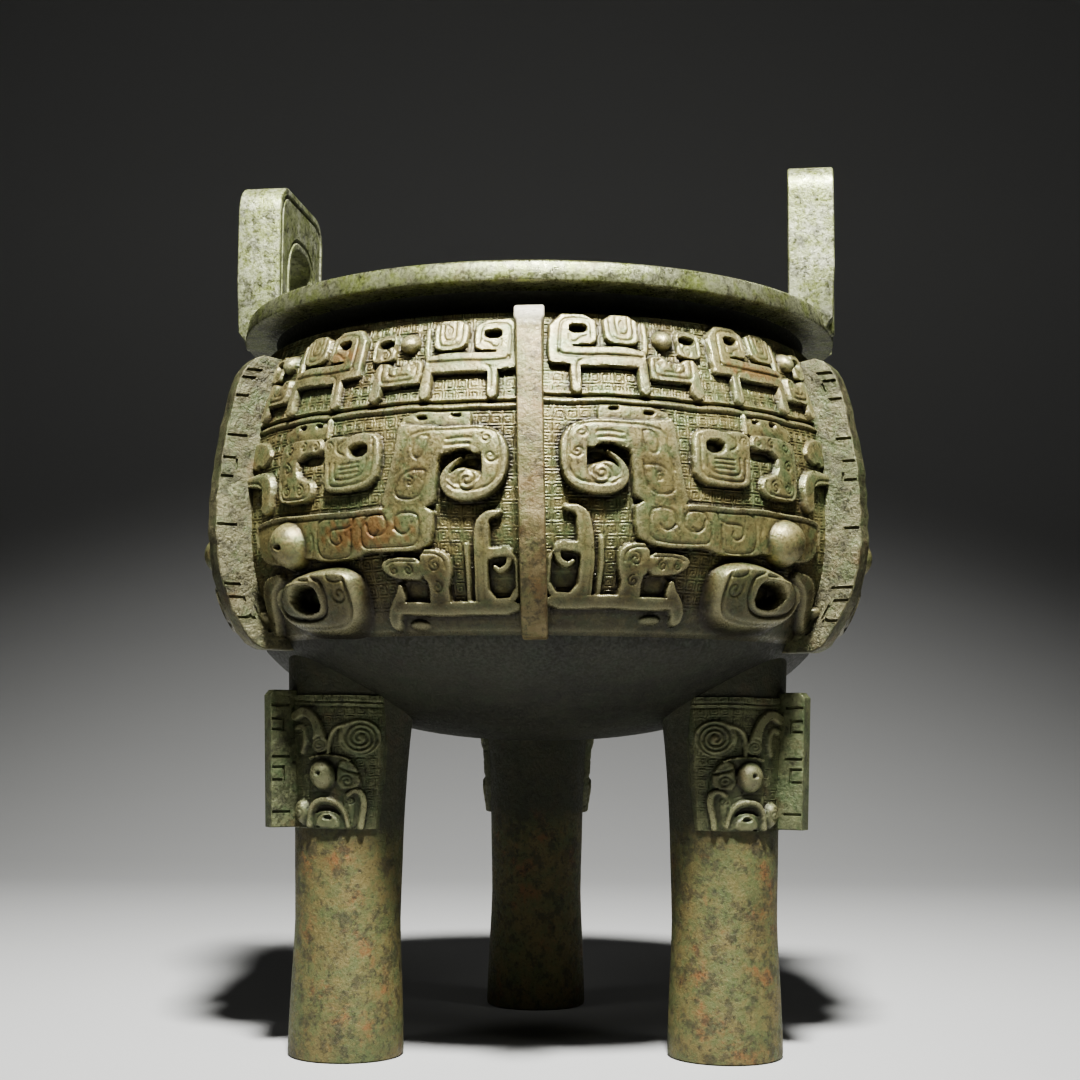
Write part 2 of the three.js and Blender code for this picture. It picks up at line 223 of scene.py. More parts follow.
# %% [markdown]
# ## The carved band
# The masks, dragons and spirals were cut into the clay mould or its model, so the metal shows flat
# raised plates with soft edges, thin grooves on them, and a fine ground between. Extruding each of
# several hundred small faces with edit tools would give hard, even edges that cast bronze doesn't have,
# and a bump in the material would leave no shadow. So the band is computed: a flat drawing sheet has a
# height at each of its points, shapes raise or cut that height by their distance from each point, and
# the sheet is then wrapped round the bowl as one closed skin. Across is in degrees from a flange,
# up is in millimetres.

# %% The drawing sheet
class Sheet:
    def __init__(self, width, foot, top, unit, step, seed, drop=0):
        """A sheet `width` degrees wide, with `unit` mm to a degree; `drop` lowers what is drawn on it."""
        self.unit = unit
        self.drop = drop
        self.across = np.linspace(0, width, int(width * unit / step) + 1)
        self.up = np.linspace(foot, top, int((top - foot) / step) + 1)
        self.column_x = self.across * unit
        x, z = np.meshgrid(self.column_x, self.up + drop)
        chance = np.random.default_rng(seed)
        sway = chance.uniform(0, 2 * pi, 6)
        self.x = x + 0.35 * np.sin(z / 11 + sway[0]) + 0.25 * np.sin(x / 17 + z / 7 + sway[1])
        self.z = z + 0.35 * np.sin(x / 13 + sway[2]) + 0.25 * np.sin(x / 6 - z / 19 + sway[3])
        self.wear = 0.5 + 0.5 * np.sin(x / 21 + sway[4]) * np.sin(z / 16 + sway[5])
        self.height = np.zeros(x.shape)
        self.stains = np.zeros(x.shape)

    def spot(self, points, reach):
        """The rows and columns within reach of some points."""
        low, high = points.min(0) - reach - 1.5, points.max(0) + reach + 1.5
        rows = slice(*np.searchsorted(self.up + self.drop, (low[1], high[1])))
        columns = slice(*np.searchsorted(self.column_x, (low[0], high[0])))
        return rows, columns

    def from_path(self, path, reach):
        """How far each point nearby is from a path, and how far along the path it is."""
        points = np.array([(across * self.unit, up) for across, up, *_ in path], float)
        spot = self.spot(points, reach)
        x, z = self.x[spot], self.z[spot]
        away, along = np.full(x.shape, 1e9), np.zeros(x.shape)
        for i, (start, end) in enumerate(zip(points, points[1:])):
            dx, dz = end - start
            share = ((x - start[0]) * dx + (z - start[1]) * dz) / max(dx * dx + dz * dz, 1e-9)
            share = np.clip(share, 0, 1)
            distance = np.hypot(x - start[0] - share * dx, z - start[1] - share * dz)
            nearer = distance < away
            away = np.where(nearer, distance, away)
            along = np.where(nearer, i + share, along)
        return spot, away, along

    def inside_of(self, outline, reach=2):
        """How far each point nearby is inside a closed outline; outside it is negative."""
        spot, away, _ = self.from_path([*outline, outline[0]], reach)
        x, z = self.x[spot], self.z[spot]
        within = np.zeros(x.shape, bool)
        for (a0, z0), (a1, z1) in zip(outline, [*outline[1:], outline[0]]):
            if z0 != z1:
                crossing = (z0 > z) != (z1 > z)
                edge = (a0 + (z - z0) * (a1 - a0) / (z1 - z0)) * self.unit
                within ^= crossing & (x < edge)
        return spot, np.where(within, away, -away)

    def lift(self, spot, inside, rise, soft):
        slope = np.clip(inside / soft + 0.4, 0, 1)
        crown = 0.06 * rise * (1 - np.exp(-np.clip(inside, 0, None) / 3.5))
        self.height[spot] = np.maximum(self.height[spot], rise * slope * slope * (3 - 2 * slope) + crown)

    def plate(self, outline, rise, soft=1.1, rounding=1):
        """A raised plate; its rise is a number, or two heights and the rise at each of them."""
        spot, inside = self.inside_of(rounded(outline, rounding, True))
        if isinstance(rise, tuple):
            rise = np.interp(self.z[spot], *rise)
        self.lift(spot, inside, rise, soft)

    def sink(self, outline, floor=-0.8, soft=1.2):
        spot, inside = self.inside_of(rounded(outline, 1, True))
        share = np.clip(inside / soft + 0.4, 0, 1)
        here = self.height[spot]
        self.height[spot] = np.minimum(here, here + (floor - here) * share * share * (3 - 2 * share))

    def strap(self, path, width, rise, soft=1.1, rounding=2, tube=0):
        """A raised strap; a third number in its path gives a new width. A tube is rounded on top."""
        path = rounded(with_widths(path, width), rounding)
        widths = [w for _, _, w in path]
        spot, away, along = self.from_path(path, max(widths) / 2 + 1)
        inside = np.interp(along, range(len(widths)), widths) / 2 - away
        if tube:
            share = np.clip(inside / tube, 0, 1)
            self.height[spot] = np.maximum(self.height[spot], rise * np.sqrt(1 - (1 - share) ** 2))
        else:
            self.lift(spot, inside, rise, soft)

    def boss(self, place, wide, tall, rise):
        """A rounded boss, such as an eye."""
        centre = np.array([[place[0] * self.unit, place[1]]])
        spot = self.spot(centre, max(wide, tall))
        away = ((self.x[spot] - centre[0, 0]) / wide) ** 2 + ((self.z[spot] - centre[0, 1]) / tall) ** 2
        dome = rise * np.sqrt(np.clip(1 - away, 0, 1))
        self.height[spot] = np.maximum(self.height[spot], dome)

    def groove(self, path, width=1.1, depth=0.9, rounding=1):
        spot, away, _ = self.from_path(rounded(path, rounding), 2 * width)
        self.height[spot] -= depth * (1 - 0.35 * self.wear[spot]) * np.exp(-(away / (0.62 * width)) ** 2)

    def curl(self, place, radius, turns=1.6, hand=1, start=90, depth=0.9, width=1.0):
        """An engraved spiral that starts at its outer end, in degrees from the right."""
        path = []
        for share in np.linspace(0, 1, int(14 * turns) + 2):
            turn = radians(start) + hand * share * turns * 2 * pi
            reach = radius * (1 - 0.85 * share)
            path.append((place[0] + reach * cos(turn) / self.unit, place[1] + reach * sin(turn)))
        self.groove(path, width, depth, 0)

    def stain(self, place, wide, tall):
        """A patch where the red brown layer shows, with a ragged edge."""
        away = np.hypot((self.x / self.unit - place[0]) / wide, (self.z - place[1]) / tall)
        ragged = 0.25 * np.sin(self.x / 2.3 + self.z / 3.1) + 0.2 * np.sin(self.x / 1.1 - self.z / 1.7)
        self.stains = np.maximum(self.stains, np.clip(2.2 * (1.1 + ragged - away), 0, 1))

    def thunder_ground(self, outline_rise, cell):
        """The ground of square spirals; the real lines are half as far apart, too fine to show."""
        column, row = np.floor(self.x / cell), np.floor(self.z / cell)
        u, v = self.x / cell - column - 0.5, self.z / cell - row - 0.5
        u = np.where((column + row) % 2 == 0, u, -u)
        ring = 2 * np.maximum(np.abs(u), np.abs(v))
        quarter = np.floor(2 * np.arctan2(v, u) / pi + 0.5) / 4
        line = 0.5 - 0.5 * np.cos(2 * pi * (2 * ring + quarter))
        self.height = np.maximum(self.height, outline_rise * (0.15 + 0.85 * line) * (1 - 0.3 * self.wear))


def with_widths(path, width):
    wide = []
    for across, up, *new in path:
        width = new[0] if new else width
        wide.append((across, up, width))
    return wide


def rounded(path, passes, closed=False):
    """Cuts the corners of a path, a quarter of each side at a time."""
    points = np.array(path, float)
    for _ in range(passes):
        after = np.roll(points, -1, 0) if closed else points[1:]
        before = points if closed else points[:-1]
        cut = np.stack([0.75 * before + 0.25 * after, 0.25 * before + 0.75 * after], 1)
        cut = cut.reshape(-1, points.shape[1])
        points = cut if closed else np.vstack([points[:1], cut[1:-1], points[-1:]])
    return [tuple(point) for point in points]


print("a sheet can take", [name for name in vars(Sheet) if name[0] != "_"])

# %% [markdown]
# ## Upper register: small dragons
# A narrow band runs under the neck: a dragon with a hooked crest and a double bar for its body, then a
# round eye over a square scroll, then the dragon again. Each is drawn once and copied along the sheet.

# %% Small dragons and eyes with scrolls
PLATE = 4.5               # raised plates stand this far off the ground


def moved(points, start, squeeze=1, origin=0):
    return [(origin + (across - origin) * squeeze + start, *rest) for across, *rest in points]


def small_dragon(sheet, start):
    def at(*points):
        return moved(points, start)
    sheet.plate(at((1.4, 431), (9.7, 431), (9.8, 414.6), (9, 411.6), (6.6, 411.4), (5.4, 410.8),
                   (18, 410.8), (18.2, 404.5), (17.6, 399.2), (2.2, 399.2), (1.4, 401.5)), PLATE)
    sheet.sink(at((4.9, 418.8), (4.9, 424.3), (7.9, 424.3), (7.9, 419.4)), -0.5)
    sheet.strap(at((17.8, 406), (18.5, 412), (18.6, 426)), 3.4, 2.4, 0.8)
    sheet.strap(at((6, 385.6), (6, 401.6), (17.3, 401.6), (17.5, 385.6)), 6.6, PLATE, rounding=0)
    sheet.plate(at((10.9, 431), (10.9, 417), (11.6, 413.2), (13.2, 411.8), (15.6, 411.8),
                   (16.9, 413.4), (17.3, 417), (17.3, 431)), 4)
    sheet.groove(at((3.3, 406.4), (3.3, 424.6), (4.3, 427.7), (8, 427.7), (8.7, 425.6), (8.7, 417)))
    sheet.groove(at((4.9, 417.6), (5, 413.4), (6.2, 413), (6.6, 415.4), (7.8, 417)), 1, 0.8)
    sheet.groove(at((3.4, 407), (3.6, 405.4), (5.3, 405), (17.4, 405)), 1.3, 1.4)
    sheet.groove(at((6.3, 389), (6.3, 400), (7, 402.6), (8.4, 404)))
    sheet.groove(at((12.1, 430), (12.1, 418), (13, 414.6), (15.4, 414.4), (16.3, 417), (16.3, 430)))
    sheet.groove(at((13.3, 428.6), (13.3, 419.6), (14, 418), (15.3, 418.6), (15.5, 428)))
    sheet.curl(at((14.4, 424))[0], 2.4, 1.5)


def eye_and_scroll(sheet, start, squeeze):
    def at(*points):
        return moved(points, start, squeeze, 19)
    sheet.plate(at((24.2, 409.5), (24.2, 421.4), (25, 424.6), (28, 424.6), (29.2, 422), (29.1, 410.5),
                   (28.3, 407.6), (26.2, 407.2), (24.6, 407.8)), 4)
    sheet.plate(at((18.5, 393), (18.5, 405), (19.4, 407.2), (21.2, 407), (21.9, 404), (23.2, 403.6),
                   (24.6, 404), (25.4, 406.8), (27.6, 407.2), (27.9, 394), (27, 391.6),
                   (19.2, 391.6)), 4.3)
    sheet.strap(at((26.7, 398), (26.8, 388, 8), (27, 387, 8)), 7, 4.5)
    sheet.sink(at((25, 416), (25, 420.8), (27.8, 420.8), (27.8, 416)), -0.5)
    sheet.groove(at((24.9, 415), (24.9, 421.6), (25.8, 423), (27.6, 422.8), (28.3, 421), (28.2, 411)))
    sheet.curl(at((26.2, 411.8))[0], 3.2, 1.5)
    sheet.groove(at((19.6, 404.6), (19.6, 396), (20.4, 394.4), (25.5, 394.4), (26.2, 396),
                    (26.4, 405.6)))
    sheet.groove(at((21.2, 397.6), (25, 397.6), (25, 403.6)))
    sheet.curl(at((20.5, 402.8))[0], 2.2, 1.3)
    sheet.curl(at((23.2, 400.9))[0], 2.4, 1.6)
    sheet.boss(at((21.8, 417.5))[0], 6.9 * (0.4 + 0.6 * squeeze), 6.2, 7.6)


def register_line(sheet, width):
    for height, rise in ((378.6, 1.9), (383, 1.3)):
        sheet.strap([(0, height), (width, height)], 2.6 if rise > 1.5 else 1.2, rise, 0.8)
    sheet.groove([(0, 381.1), (width, 381.1)], 1.2, 1.5)
    sheet.groove([(0, 376.2), (width, 376.2)], 0.9, 0.9)


print("the plates of the upper register stand", PLATE, "mm off the ground")

# %% [markdown]
# ## Lower register: half of the great mask
# The mask, called taotie, is split along its nose flange. From the eye outwards it has a cheek, a tail
# that turns over and rolls up, a horn like a squared C, an ear, a clawed foreleg by the dividing flange,
# and a rolled snout that stands furthest out.

# %% Tail, cheek and eye
ROLL = 7                  # the rolled tail stands further out than the rest


def tail(sheet):
    sheet.plate([(9.1, 364), (9.1, 374.5), (9.8, 376), (21, 376), (21.6, 364)], 2.7)
    sheet.sink([(10.9, 372.4), (11.1, 375), (12.7, 375.3), (12.6, 372.8)], 0)
    sheet.sink([(16.7, 371.2), (17, 373.6), (18.7, 373.2), (18.5, 370.8)], 0)
    sheet.plate([(7.2, 341), (6.6, 331), (9, 327.6), (12.4, 329), (13.4, 336), (12, 342.4), (10.4, 344.4),
                 (9.2, 342.4)], ROLL - 0.8, 2.6)
    sheet.strap([(17, 358.6), (9, 358.9), (5.4, 358, 15.4), (5.2, 343, 15), (5.6, 333.8, 12.5),
                 (8.6, 329.2, 10), (11.8, 329.4, 8.4), (13.2, 334, 6.4), (13, 340, 5), (12, 345, 3.4),
                 (10.6, 348.6, 1.8)], 16.8, ROLL)
    sheet.plate([(13.3, 367.2), (20.2, 368), (21.2, 371), (21.9, 352), (22.9, 338), (24.4, 318),
                 (14.8, 318), (14.4, 345), (13.6, 352)], ((322, 354), (PLATE, ROLL)))
    sheet.sink([(7.6, 343), (7.5, 349.4), (10.2, 349.9), (10.8, 346.6), (9.8, 342.6), (8.8, 344.2)], -0.6)
    sheet.groove([(14.6, 364.4), (6.2, 364.5), (4.6, 361.5), (4.3, 342), (5, 334.5), (6.8, 330.6),
                  (11.2, 330.4), (12.3, 333.5)])
    for left, right, height in ((8.8, 12.7, 359.4), (9, 12.9, 356), (9.2, 13, 352.6)):
        sheet.groove([(left, height), ((left + right) / 2, height + 0.5), (right, height - 0.3)])
    sheet.curl((6.4, 359.4), 3.8, 1.3, -1, 160)
    sheet.curl((5.8, 348.6), 3.8, 1.2, 1, 200)
    sheet.curl((9.5, 336.6), 8, 2.1, 1, 60, 1.3, 1.3)
    sheet.groove([(15.9, 361), (16.2, 354), (17.2, 348.2), (18.2, 348.4), (18.6, 353), (18.2, 358.6),
                  (17.1, 361.6), (15.9, 361)])
    sheet.groove([(16.3, 341.6), (18.8, 342), (20.6, 338), (21.6, 330), (20.6, 326.2), (17.7, 326),
                  (16.6, 332), (16.3, 341.6)])
    sheet.curl((18.9, 335.4), 2.7, 1.2)
    sheet.groove([(14.8, 364.6), (18.4, 362.6), (19.6, 359), (20.4, 349), (21.2, 340)])


def cheek_and_eye(sheet):
    sheet.plate([(14.8, 324), (14.9, 303), (16.4, 299), (19.5, 297), (24, 296.7), (27.2, 298.2),
                 (29.2, 295), (32.5, 293.6), (36.4, 293.8), (39, 297), (46, 293), (51.6, 296),
                 (53, 304), (52.8, 321), (38, 321.4), (24, 322)], PLATE)
    sheet.strap([(24, 320.6), (38, 320.4), (51.5, 320.2), (53, 316), (52.8, 306)], 2.4, 5.6, 1)
    sheet.groove([(23, 318.2), (51, 317.8)], 0.9, 0.6)
    sheet.groove([(21.4, 309.6), (20.6, 306.8), (19.3, 307), (18.9, 309.4)])
    sheet.groove([(21.5, 309.4), (21.6, 316), (20.6, 318.6), (18.2, 318.6), (17.2, 315.6),
                  (17.2, 303.4), (18.6, 299.8), (26.6, 299.4), (27.8, 302.4), (27.7, 311)])
    sheet.groove([(24.4, 308.4), (25.4, 306.2), (26.4, 308.4), (26.6, 313)])
    sheet.groove([(27.4, 312), (26.7, 317.2), (24.8, 318.7), (23.2, 316.4), (22.9, 310.5),
                  (23.6, 306.6), (25.4, 306)])
    sheet.groove([(28.9, 318.4), (29.6, 312.4), (33.4, 311.8), (34.1, 309.5), (34, 305), (32.8, 302.6),
                  (31.7, 304.4), (31.9, 307.6)])
    sheet.groove([(35, 318.8), (36.7, 315), (36.9, 299), (35.3, 295.4), (31, 295.6), (29.8, 298),
                  (29.7, 311)])
    sheet.groove([(37.9, 310), (37.6, 303), (38.6, 295)], 1, 0.7)
    sheet.boss((43.5, 304), 14.8, 14.6, 15.2)


# %% Horn, ear and the curl beside the nose flange
def horn_and_ear(sheet):
    sheet.plate([(24.8, 341), (24.9, 361), (26, 365.4), (28.8, 366.6), (31.3, 364.5), (33.2, 366.4),
                 (35.4, 365.8), (36.4, 362.5), (35.9, 351), (35.8, 336), (34.8, 333.2), (28, 333),
                 (25.8, 336.5)], PLATE)
    sheet.sink([(27.3, 352.2), (27.3, 359.8), (30.8, 359.8), (30.8, 352.2)])
    sheet.groove([(26.2, 362), (26, 342), (27.4, 336.8), (33.6, 336.2), (34.7, 338), (34.8, 350)])
    sheet.groove([(27.2, 350.4), (27.5, 343.6), (28.6, 340), (32.9, 339.7), (33.7, 342), (33.6, 350)])
    for height in (348.6, 345.9, 343.2):
        sheet.groove([(28.6, height), (32.4, height)], 0.9)
    sheet.groove([(31.6, 362.8), (33.4, 360), (33.2, 356.2), (31.8, 354)])
    sheet.curl((35, 360.2), 2.9, 1.2, -1, 180)
    sheet.strap([(36.1, 366), (36.1, 376)], 3, 2.9)
    sheet.plate([(36, 362), (36, 376), (47.4, 376), (47, 362)], 2.2)
    sheet.sink([(37.6, 372), (37.9, 375), (39.5, 375), (39.3, 372)], -0.2)
    sheet.sink([(41.8, 372), (42, 375), (43.7, 374.6), (43.4, 371.8)], -0.2)
    sheet.plate([(36.6, 356.4), (36.6, 364), (38, 365.6), (45.4, 365.8), (47, 363), (47.3, 345),
                 (47, 331.6), (45.8, 328.8), (39.6, 328.8), (38.2, 331.6), (38.4, 339.5),
                 (40.3, 342), (42.3, 344.6), (42.3, 356.2)], 4.3)
    sheet.sink([(36.4, 350), (36.4, 355.8), (41.9, 355.8), (41.9, 350)])
    sheet.curl((38.1, 360.9), 2.9, 1.2)
    sheet.curl((41.1, 360.9), 2.9, 1.2)
    sheet.curl((44.4, 360.6), 3.5, 1.3, -1)
    sheet.curl((44.9, 349.4), 3.2, 1.3)
    sheet.curl((41.4, 335.8), 3.5, 1.5, 1)
    sheet.curl((44.6, 336.2), 3.5, 1.5, -1)
    sheet.groove([(39.3, 338.4), (39.3, 332.6), (40.3, 330.9), (45.2, 330.9), (46.1, 333), (46.2, 342)])


def nose_side(sheet):
    sheet.plate([(51, 362), (52.6, 355), (57, 353.6), (60, 357), (60, 372), (54, 371)], 2.6)
    sheet.sink([(54.4, 353), (54.6, 356), (56.4, 356), (56.2, 352.6)], 0)
    sheet.strap([(58.5, 347.2), (52.4, 346.6, 10), (50.8, 341, 13), (50.8, 329.6, 10.5)], 7, PLATE)
    sheet.groove([(58.5, 345.8), (54.2, 345.6), (52.4, 342), (52.2, 331)])
    sheet.groove([(58.5, 350), (52, 350), (49.6, 345)], 0.9, 0.6)
    sheet.sink([(53.5, 332.4), (53.7, 339.6), (56, 340), (56, 332)])


# %% Clawed foreleg, snout and whisker
def foreleg(sheet):
    sheet.strap([(4.2, 317.6), (6.2, 316.6, 6), (7.2, 310, 9.6), (7.2, 269, 10.6)], 3, PLATE)
    sheet.plate([(1.2, 299.2), (8.4, 299.2), (8.6, 263.6), (1.2, 263.6)], PLATE)
    sheet.sink([(1.9, 271.6), (1.9, 292.6), (3, 294), (6, 293.4), (6.3, 290), (6.2, 271.6)], -0.6)
    sheet.strap([(2.7, 296), (2.8, 288.6), (4.4, 286, 3.2), (5.2, 288.4, 2.6)], 4.2, 4, 0.8)
    sheet.groove([(8.2, 296), (8.2, 268)], 1, 0.9)
    sheet.groove([(6.9, 314), (6.9, 300), (7.1, 272)], 0.9, 0.5)
    sheet.strap([(9.7, 300.6), (9.7, 268)], 3.2, 3.4, 0.9)
    sheet.plate([(12.2, 286), (12.3, 293.6), (14, 298.4), (17.5, 298.6), (17.6, 283), (16.5, 280),
                 (16.8, 266), (12.6, 266), (13, 277), (12.5, 281)], PLATE)
    sheet.plate([(17, 281.6), (17, 294), (22.6, 294), (24.5, 291), (24.4, 286.8), (23.2, 283.4),
                 (21.6, 281.4)], PLATE)
    sheet.strap([(21.7, 277), (21.9, 271.5, 8), (23, 266.5, 9), (24, 262, 8.6), (24, 258.6, 8)], 4, PLATE)
    sheet.plate([(1, 270.4), (9, 270.2), (17, 269.8), (22, 269.6), (24, 266), (23.4, 262), (10, 262.4),
                 (1, 262.8)], PLATE + 0.3)
    sheet.boss((19.6, 257), 7, 3, 2.6)
    sheet.sink([(17.2, 270.6), (17.2, 281), (21, 281), (21, 270.6)], -0.4)
    sheet.curl((15.1, 289.6), 3.8, 1.4, -1)
    sheet.curl((15, 278), 3.4, 1.3)
    sheet.groove([(13.3, 288), (13.5, 293.4), (15, 296.2), (17.4, 296.2)])
    sheet.groove([(17.6, 291.8), (22.4, 292), (23.3, 289.8)])
    sheet.curl((19.7, 287.2), 3, 1.5)
    sheet.curl((22.2, 287), 2.8, 1.4, -1)


def snout(sheet):
    sheet.plate([(28.8, 268), (28.8, 281), (29.6, 287), (32, 290.4), (38, 289.8), (42.5, 286.4),
                 (47, 282.4), (49, 275), (49, 264), (47, 256.4), (42, 252.8), (34, 253), (30.4, 258)],
                11.5, 7, 2)
    sheet.sink([(37.2, 268), (37.2, 278), (39, 280.8), (42.8, 279.6), (44, 274), (42.9, 267), (40.4, 265)],
               -1, 3.4)
    sheet.groove([(38, 285.4), (35.9, 283.4), (35.3, 279), (35.5, 270), (37, 263.6), (41, 260.6),
                  (45.6, 262.6), (47, 268), (46.6, 275), (44.6, 281)], 1.7, 2.2, 2)
    sheet.groove([(38.6, 284), (43, 283.2), (47.6, 279.6)], 1.6, 2.2)
    sheet.groove([(31, 284), (30.4, 272), (30.8, 264), (32.6, 258), (38.6, 256), (45, 257), (47.6, 262),
                  (48, 270)], 1.4, 1.8, 2)
    sheet.groove([(34.4, 288), (34.2, 284), (33, 282), (31.2, 282.4)], 1.2, 1)
    sheet.curl((32.3, 275.5), 5.5, 1.2, -1, 20, 0.9)
    sheet.strap([(48, 287), (51.8, 283.4, 10), (53.8, 275, 11), (55, 265, 9), (57.5, 258, 7),
                 (60, 255.6, 6)], 5, 5)
    sheet.boss((58.3, 266), 7.6, 5, 8.2)


print("the rolled tail of the mask stands", ROLL, "mm off the ground")

# %% [markdown]
# ## Wrapping the sheet
# A sheet becomes a closed skin: the carved front, a plain back a few millimetres inside the wall, and
# four narrow sides. It also keeps two numbers at each point for the patina: how deep it lies below its
# surroundings, where dirt gathers, and how far it stands above them, where hands have rubbed and where
# a highlight is painted on.

# %% Wrapping a sheet into a skin
def blurred(values, reach):
    for axis in (0, 1):
        for _ in range(2):
            padded = np.pad(values, [(reach + 1, reach) if a == axis else (0, 0) for a in (0, 1)], "edge")
            total = np.cumsum(padded, axis)
            high = np.take(total, range(2 * reach + 1, total.shape[axis]), axis)
            low = np.take(total, range(total.shape[axis] - 2 * reach - 1), axis)
            values = (high - low) / (2 * reach + 1)
    return values


def wrap(name, sheet, place, depth):
    """`place` turns degrees across, millimetres up and height into x, y and z arrays."""
    across, up, height = sheet.across, sheet.up, sheet.height
    rows, columns = height.shape
    back_rows = up[np.linspace(0, rows - 1, 9).astype(int)]
    front = np.stack(place(across[None, :], up[:, None], height), -1).reshape(-1, 3)
    flat = np.full((len(back_rows), columns), -float(depth))
    back = np.stack(place(across[None, :], back_rows[:, None], flat), -1).reshape(-1, 3)
    front_ids = np.arange(rows * columns).reshape(rows, columns)
    back_ids = rows * columns + np.arange(back.shape[0]).reshape(-1, columns)

    def quads(ids):
        return np.stack([ids[:-1, :-1], ids[:-1, 1:], ids[1:, 1:], ids[1:, :-1]], -1).reshape(-1, 4)

    faces = [*quads(front_ids).tolist(), *quads(back_ids)[:, ::-1].tolist()]
    for row in (0, -1):
        pair = np.stack([front_ids[row], back_ids[row]])
        faces += quads(pair).tolist()
    for column in (0, -1):
        faces.append([*front_ids[:, column].tolist(), *back_ids[::-1, column].tolist()])
    mesh = bpy.data.meshes.new(name)
    mesh.from_pydata((np.vstack([front, back]) * MM).tolist(), [], faces)
    reach = max(2, round(2.4 / (up[1] - up[0])))
    level = height - blurred(height, reach)
    # the second number marks raised points, which the patina paints lighter: partly rubbed wear, partly a
    # painted highlight
    for attribute, values in (("hollow", np.clip(-level / 1.6, 0, 1)),
                              ("rubbed_and_highlight", np.clip(level / 1.6, 0, 1)), ("stained", sheet.stains)):
        layer = mesh.attributes.new(attribute, "FLOAT", "POINT")
        layer.data.foreach_set("value", np.append(values.ravel(), np.zeros(len(back))).astype(np.float32))
    piece = bpy.data.objects.new(name, mesh)
    bpy.context.collection.objects.link(piece)
    outward_normals(piece)
    return piece


def outward_normals(piece):
    bpy.ops.object.select_all(action="DESELECT")
    bpy.context.view_layer.objects.active = piece
    piece.select_set(True)
    bpy.ops.object.mode_set(mode="EDIT")
    bpy.ops.mesh.select_all(action="SELECT")
    bpy.ops.mesh.normals_make_consistent(inside=False)
    bpy.ops.object.mode_set(mode="OBJECT")
    bpy.ops.object.shade_smooth_by_angle(angle=radians(75))


# %% Half panels of the carved band
DEGREE = 3.5              # mm round the belly to a degree
GROUND_CELL = 7.2         # a square spiral of the ground; the real ones are half as wide
BURIED = 7                # the sheet runs this far down past the band, and ends inside the wall


def carve_half_panel(step, seed, left, drop=0):
    sheet = Sheet(HALF_PANEL, BAND_FOOT - BURIED, BAND_TOP + 2, DEGREE, step, seed, drop)
    sheet.thunder_ground(1, GROUND_CELL)
    sheet.height *= np.clip((sheet.z - BAND_FOOT - 4) / 10, 0, 1)
    for start in (0, 29.5):
        small_dragon(sheet, start)
    eye_and_scroll(sheet, 0, 1)
    eye_and_scroll(sheet, 30.5, 0.8)
    register_line(sheet, HALF_PANEL)
    nose_side(sheet)
    horn_and_ear(sheet)
    tail(sheet)
    foreleg(sheet)
    cheek_and_eye(sheet)
    snout(sheet)
    if left:
        sheet.sink([(42.6, 301), (42.6, 304), (44, 304), (44, 301)], 11)
        sheet.stain((27, 309), 8, 9)
        sheet.stain((36, 416), 3, 5)
    else:
        sheet.stain((41, 405), 6.6, 4.6)
    buried = np.clip((BAND_FOOT - 1 - sheet.up) / 5, 0, 1)[:, None]
    sheet.height -= SET_BACK * buried
    return sheet


def wrap_on_bowl(name, sheet, start, end):
    def place(across, up, height):
        turn = np.radians(start + (end - start) * across / HALF_PANEL)
        radius = bowl_radius(up) + height
        return radius * np.sin(turn), -radius * np.cos(turn), up + 0 * radius
    return wrap(name, sheet, place, SET_BACK + 2)


FINE, COARSE = ((0.66, 1.1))      # mm between points, in front and elsewhere
panels = [
    wrap_on_bowl("panel_front_right", carve_half_panel(FINE, 1, False), 0, 60),
    wrap_on_bowl("panel_front_left", carve_half_panel(FINE, 2, True, 3.5), -1.8, -60),
    wrap_on_bowl("panel_right", carve_half_panel(COARSE, 3, False), 120, 60),
    wrap_on_bowl("panel_left", carve_half_panel(COARSE, 4, False), -120, -60),
    wrap_on_bowl("panel_back_right", carve_half_panel(COARSE, 5, False), 120, 180),
    wrap_on_bowl("panel_back_left", carve_half_panel(COARSE, 6, True), -120, -180),
]
for panel in panels:
    print(panel.name, len(panel.data.polygons), "faces")

# %% [markdown]
# ## Flanges
# Where the outer mould pieces met, the caster left upright flanges instead of grinding the seam away. A
# flange is a flat plate with a curved outer edge, so it is drawn as a chain of points, filled, and drawn
# out to its thickness; its edges are bevelled because the clay and the years rounded them. The cuts on
# the sides of the nose flanges are made by insetting the side, slicing it, and pressing faces in.

